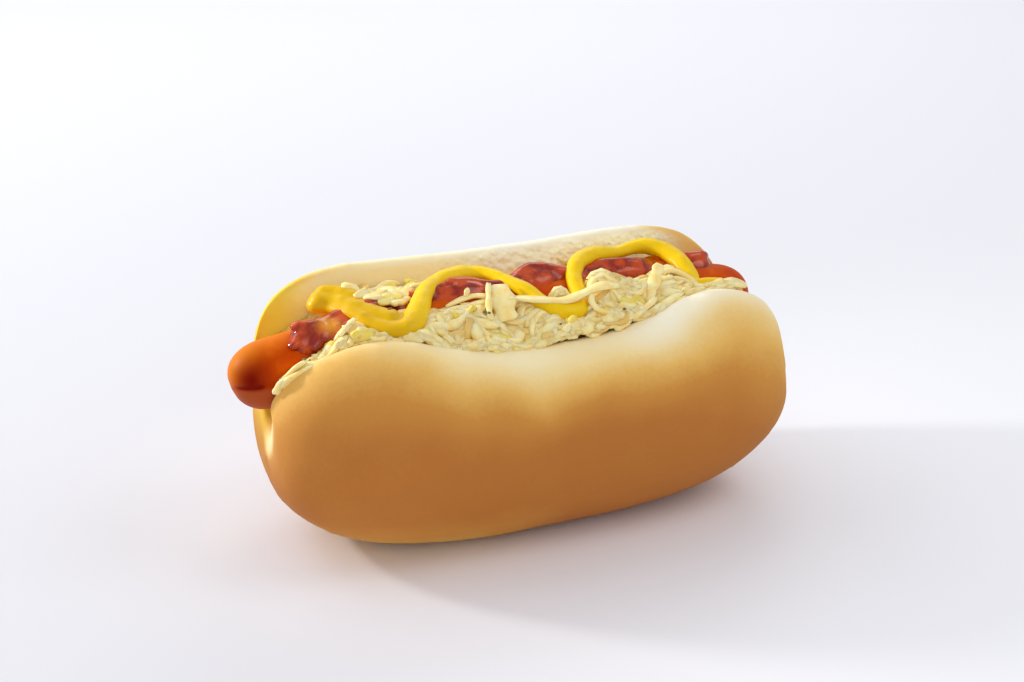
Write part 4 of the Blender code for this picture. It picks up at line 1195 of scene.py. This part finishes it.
def shredded_cabbage(surface):
    """Strips laid one on another, and then the placed ones: those that stand out and those on the sauces."""
    draw = random.Random(SEEDS["strips"])
    parts, tints = [], []
    for count, heading_spread, *ranges in STRIP_KINDS:
        lengths, widths, thicknesses, x_range, depths = metres(ranges)
        for _ in range(count):
            x = draw.uniform(*x_range)
            centre = (x, front_edge(x) + draw.uniform(*depths))
            sizes = [draw.uniform(*limits) for limits in (lengths, widths, thicknesses)]
            form = lay_strip(surface, draw, centre, *sizes, draw.gauss(0.0, heading_spread))
            if form:
                parts.append(form)
                tints += [draw.random()] * len(form[0])
    for *sizes, turn, twist, points in PLACED_STRIPS:
        width, thickness = metres(sizes)
        path = smooth_path(points, PLACED_STEPS) + np.array(PLACED_LIFT)
        turns = turn + twist * np.linspace(-0.5, 0.5, len(path))
        parts.append(uneven_strip(draw, path, width, thickness, turns))
        tints += [PLACED_TINT] * len(parts[-1][0])
        surface.lay(path, path[:, 2] + thickness / 2)
    for *sizes, heading in SAUCE_BITS:
        x, y, length, width = metres(sizes)
        path = level_path(x, y, length, heading, SAUCE_BIT_STEPS)
        rests = np.maximum(surface.crowns, surface.laid)[surface.cells(path)]
        path[:, 2] = (rests + rests.max()) / 2
        turns = np.full(SAUCE_BIT_STEPS, draw.gauss(*SAUCE_BIT_TURN))
        parts.append(uneven_strip(draw, path, width, SAUCE_BIT_THICKNESS, turns))
        tints += [draw.random()] * len(parts[-1][0])
    mesh = mesh_of_parts("strips", parts)
    write_values(mesh, "tint", tints)
    new_piece("sauerkraut_strips", mesh, cabbage_material("cabbage", *CABBAGE), "sauerkraut")


def yellow_bits(surface):
    """Bits of cabbage that took up mustard."""
    draw = random.Random(SEEDS["yellow bits"])
    parts = []
    for x, y, length, width in metres(YELLOW_BITS):
        form = lay_strip(surface, draw, (x, y), length, width, YELLOW_THICKNESS, draw.gauss(0.0, YELLOW_TURN))
        if form:
            form[0][:, 2] += STRIP_RISE
            parts.append(form)
    new_piece("yellow_bits", mesh_of_parts("yellow_bits", parts), yellow_material(), "sauerkraut")


def herb_flecks(surface):
    """Flat dark flecks of herb on the heap."""
    draw = random.Random(SEEDS["herb"])
    parts = []
    while len(parts) < HERB_FLECKS:
        if len(parts) < len(HERB_PLACES):
            x, y = HERB_PLACES[len(parts)]
            length, width = HERB_LENGTHS[1] * HERB_LONGER, HERB_WIDTHS[1]
        else:
            x = draw.uniform(*HERB_RANGE)
            y = draw.choice([draw.uniform(*band) for band in HERB_BANDS])
            length, width = draw.uniform(*HERB_LENGTHS), draw.uniform(*HERB_WIDTHS)
        path = level_path(x, y, length, draw.gauss(0.0, HERB_HEADING), HERB_STEPS)
        if not all(in_heap(*place) for place in path[:, :2]):
            continue
        path[:, 2] = surface.laid[surface.cells(path)].max() + HERB_THICKNESS
        turns = np.full(HERB_STEPS, draw.gauss(*HERB_TURN))
        parts.append(uneven_strip(draw, path, width, HERB_THICKNESS, turns))
    new_piece("herb_flecks", mesh_of_parts("herb_flecks", parts), herb_material(), "sauerkraut")


# Stage


def turned_from(azimuth, elevation):
    """The direction from the object to something at this azimuth and elevation, as for the camera."""
    turn, rise = math.radians(azimuth), math.radians(elevation)
    return Vector((math.sin(turn) * math.cos(rise), -math.cos(turn) * math.cos(rise), math.sin(rise)))


def aim(obj, place, target):
    obj.location = place
    obj.rotation_euler = (target - place).to_track_quat("-Z", "Y").to_euler()


def camera():
    data = bpy.data.cameras.new("camera")
    data.lens = CAMERA_LENS
    data.sensor_width = CAMERA_SENSOR
    data.clip_start, data.clip_end = CAMERA_CLIP
    obj = new_object("camera", data)
    place = CAMERA_TARGET + turned_from(CAMERA_AZIMUTH, CAMERA_ELEVATION) * CAMERA_DISTANCE
    aim(obj, place, CAMERA_TARGET)
    bpy.context.scene.camera = obj


def studio():
    key = bpy.data.lights.new("key", "SPOT")
    key.spot_size = math.radians(KEY_CONE)
    key.spot_blend = 1.0
    key.shadow_soft_size = KEY_RADIUS
    key.energy = KEY_POWER
    key.color = WARM_WHITE
    aim(new_object("key", key), Vector(KEY_PLACE), Vector(KEY_TARGET))
    for name, place, target, size, power, colour in LIGHTS:
        data = bpy.data.lights.new(name, "AREA")
        data.shape = "DISK"
        data.size = size
        data.energy = power
        data.color = colour
        aim(new_object(name, data), Vector(place), Vector(target))
    world = bpy.data.worlds.new("studio")
    world.use_nodes = True
    background = world.node_tree.nodes["Background"]
    background.inputs["Color"].default_value = (*WORLD_COLOUR, 1.0)
    background.inputs["Strength"].default_value = WORLD_STRENGTH
    bpy.context.scene.world = world
    bpy.context.scene.view_settings.view_transform = "Standard"


def floor():
    sheet = bmesh.new()
    bmesh.ops.create_grid(sheet, x_segments=8, y_segments=8, size=FLOOR_SIZE / 2)
    mesh = bpy.data.meshes.new("floor")
    sheet.to_mesh(mesh)
    sheet.free()
    obj = new_object("floor", mesh)
    obj.location.z = -FLOOR_DROP
    made, tree, shader = new_material("floor", roughness=0.55)
    set_colour(tree, shader, mixed(tree, noise_node(tree, scale=3.0), *FLOOR_COLOURS))
    mesh.materials.append(made)


def build():
    camera()
    studio()
    floor()
    roll = bread()
    sausage = frankfurter()
    red = ketchup()
    yellow = mustard()
    core = heap_core()
    surface = Surface((roll, sausage, core), (red, yellow), *HEAP_AREA, HEAP_GRID)
    shredded_cabbage(surface)
    yellow_bits(surface)
    herb_flecks(surface)


build()
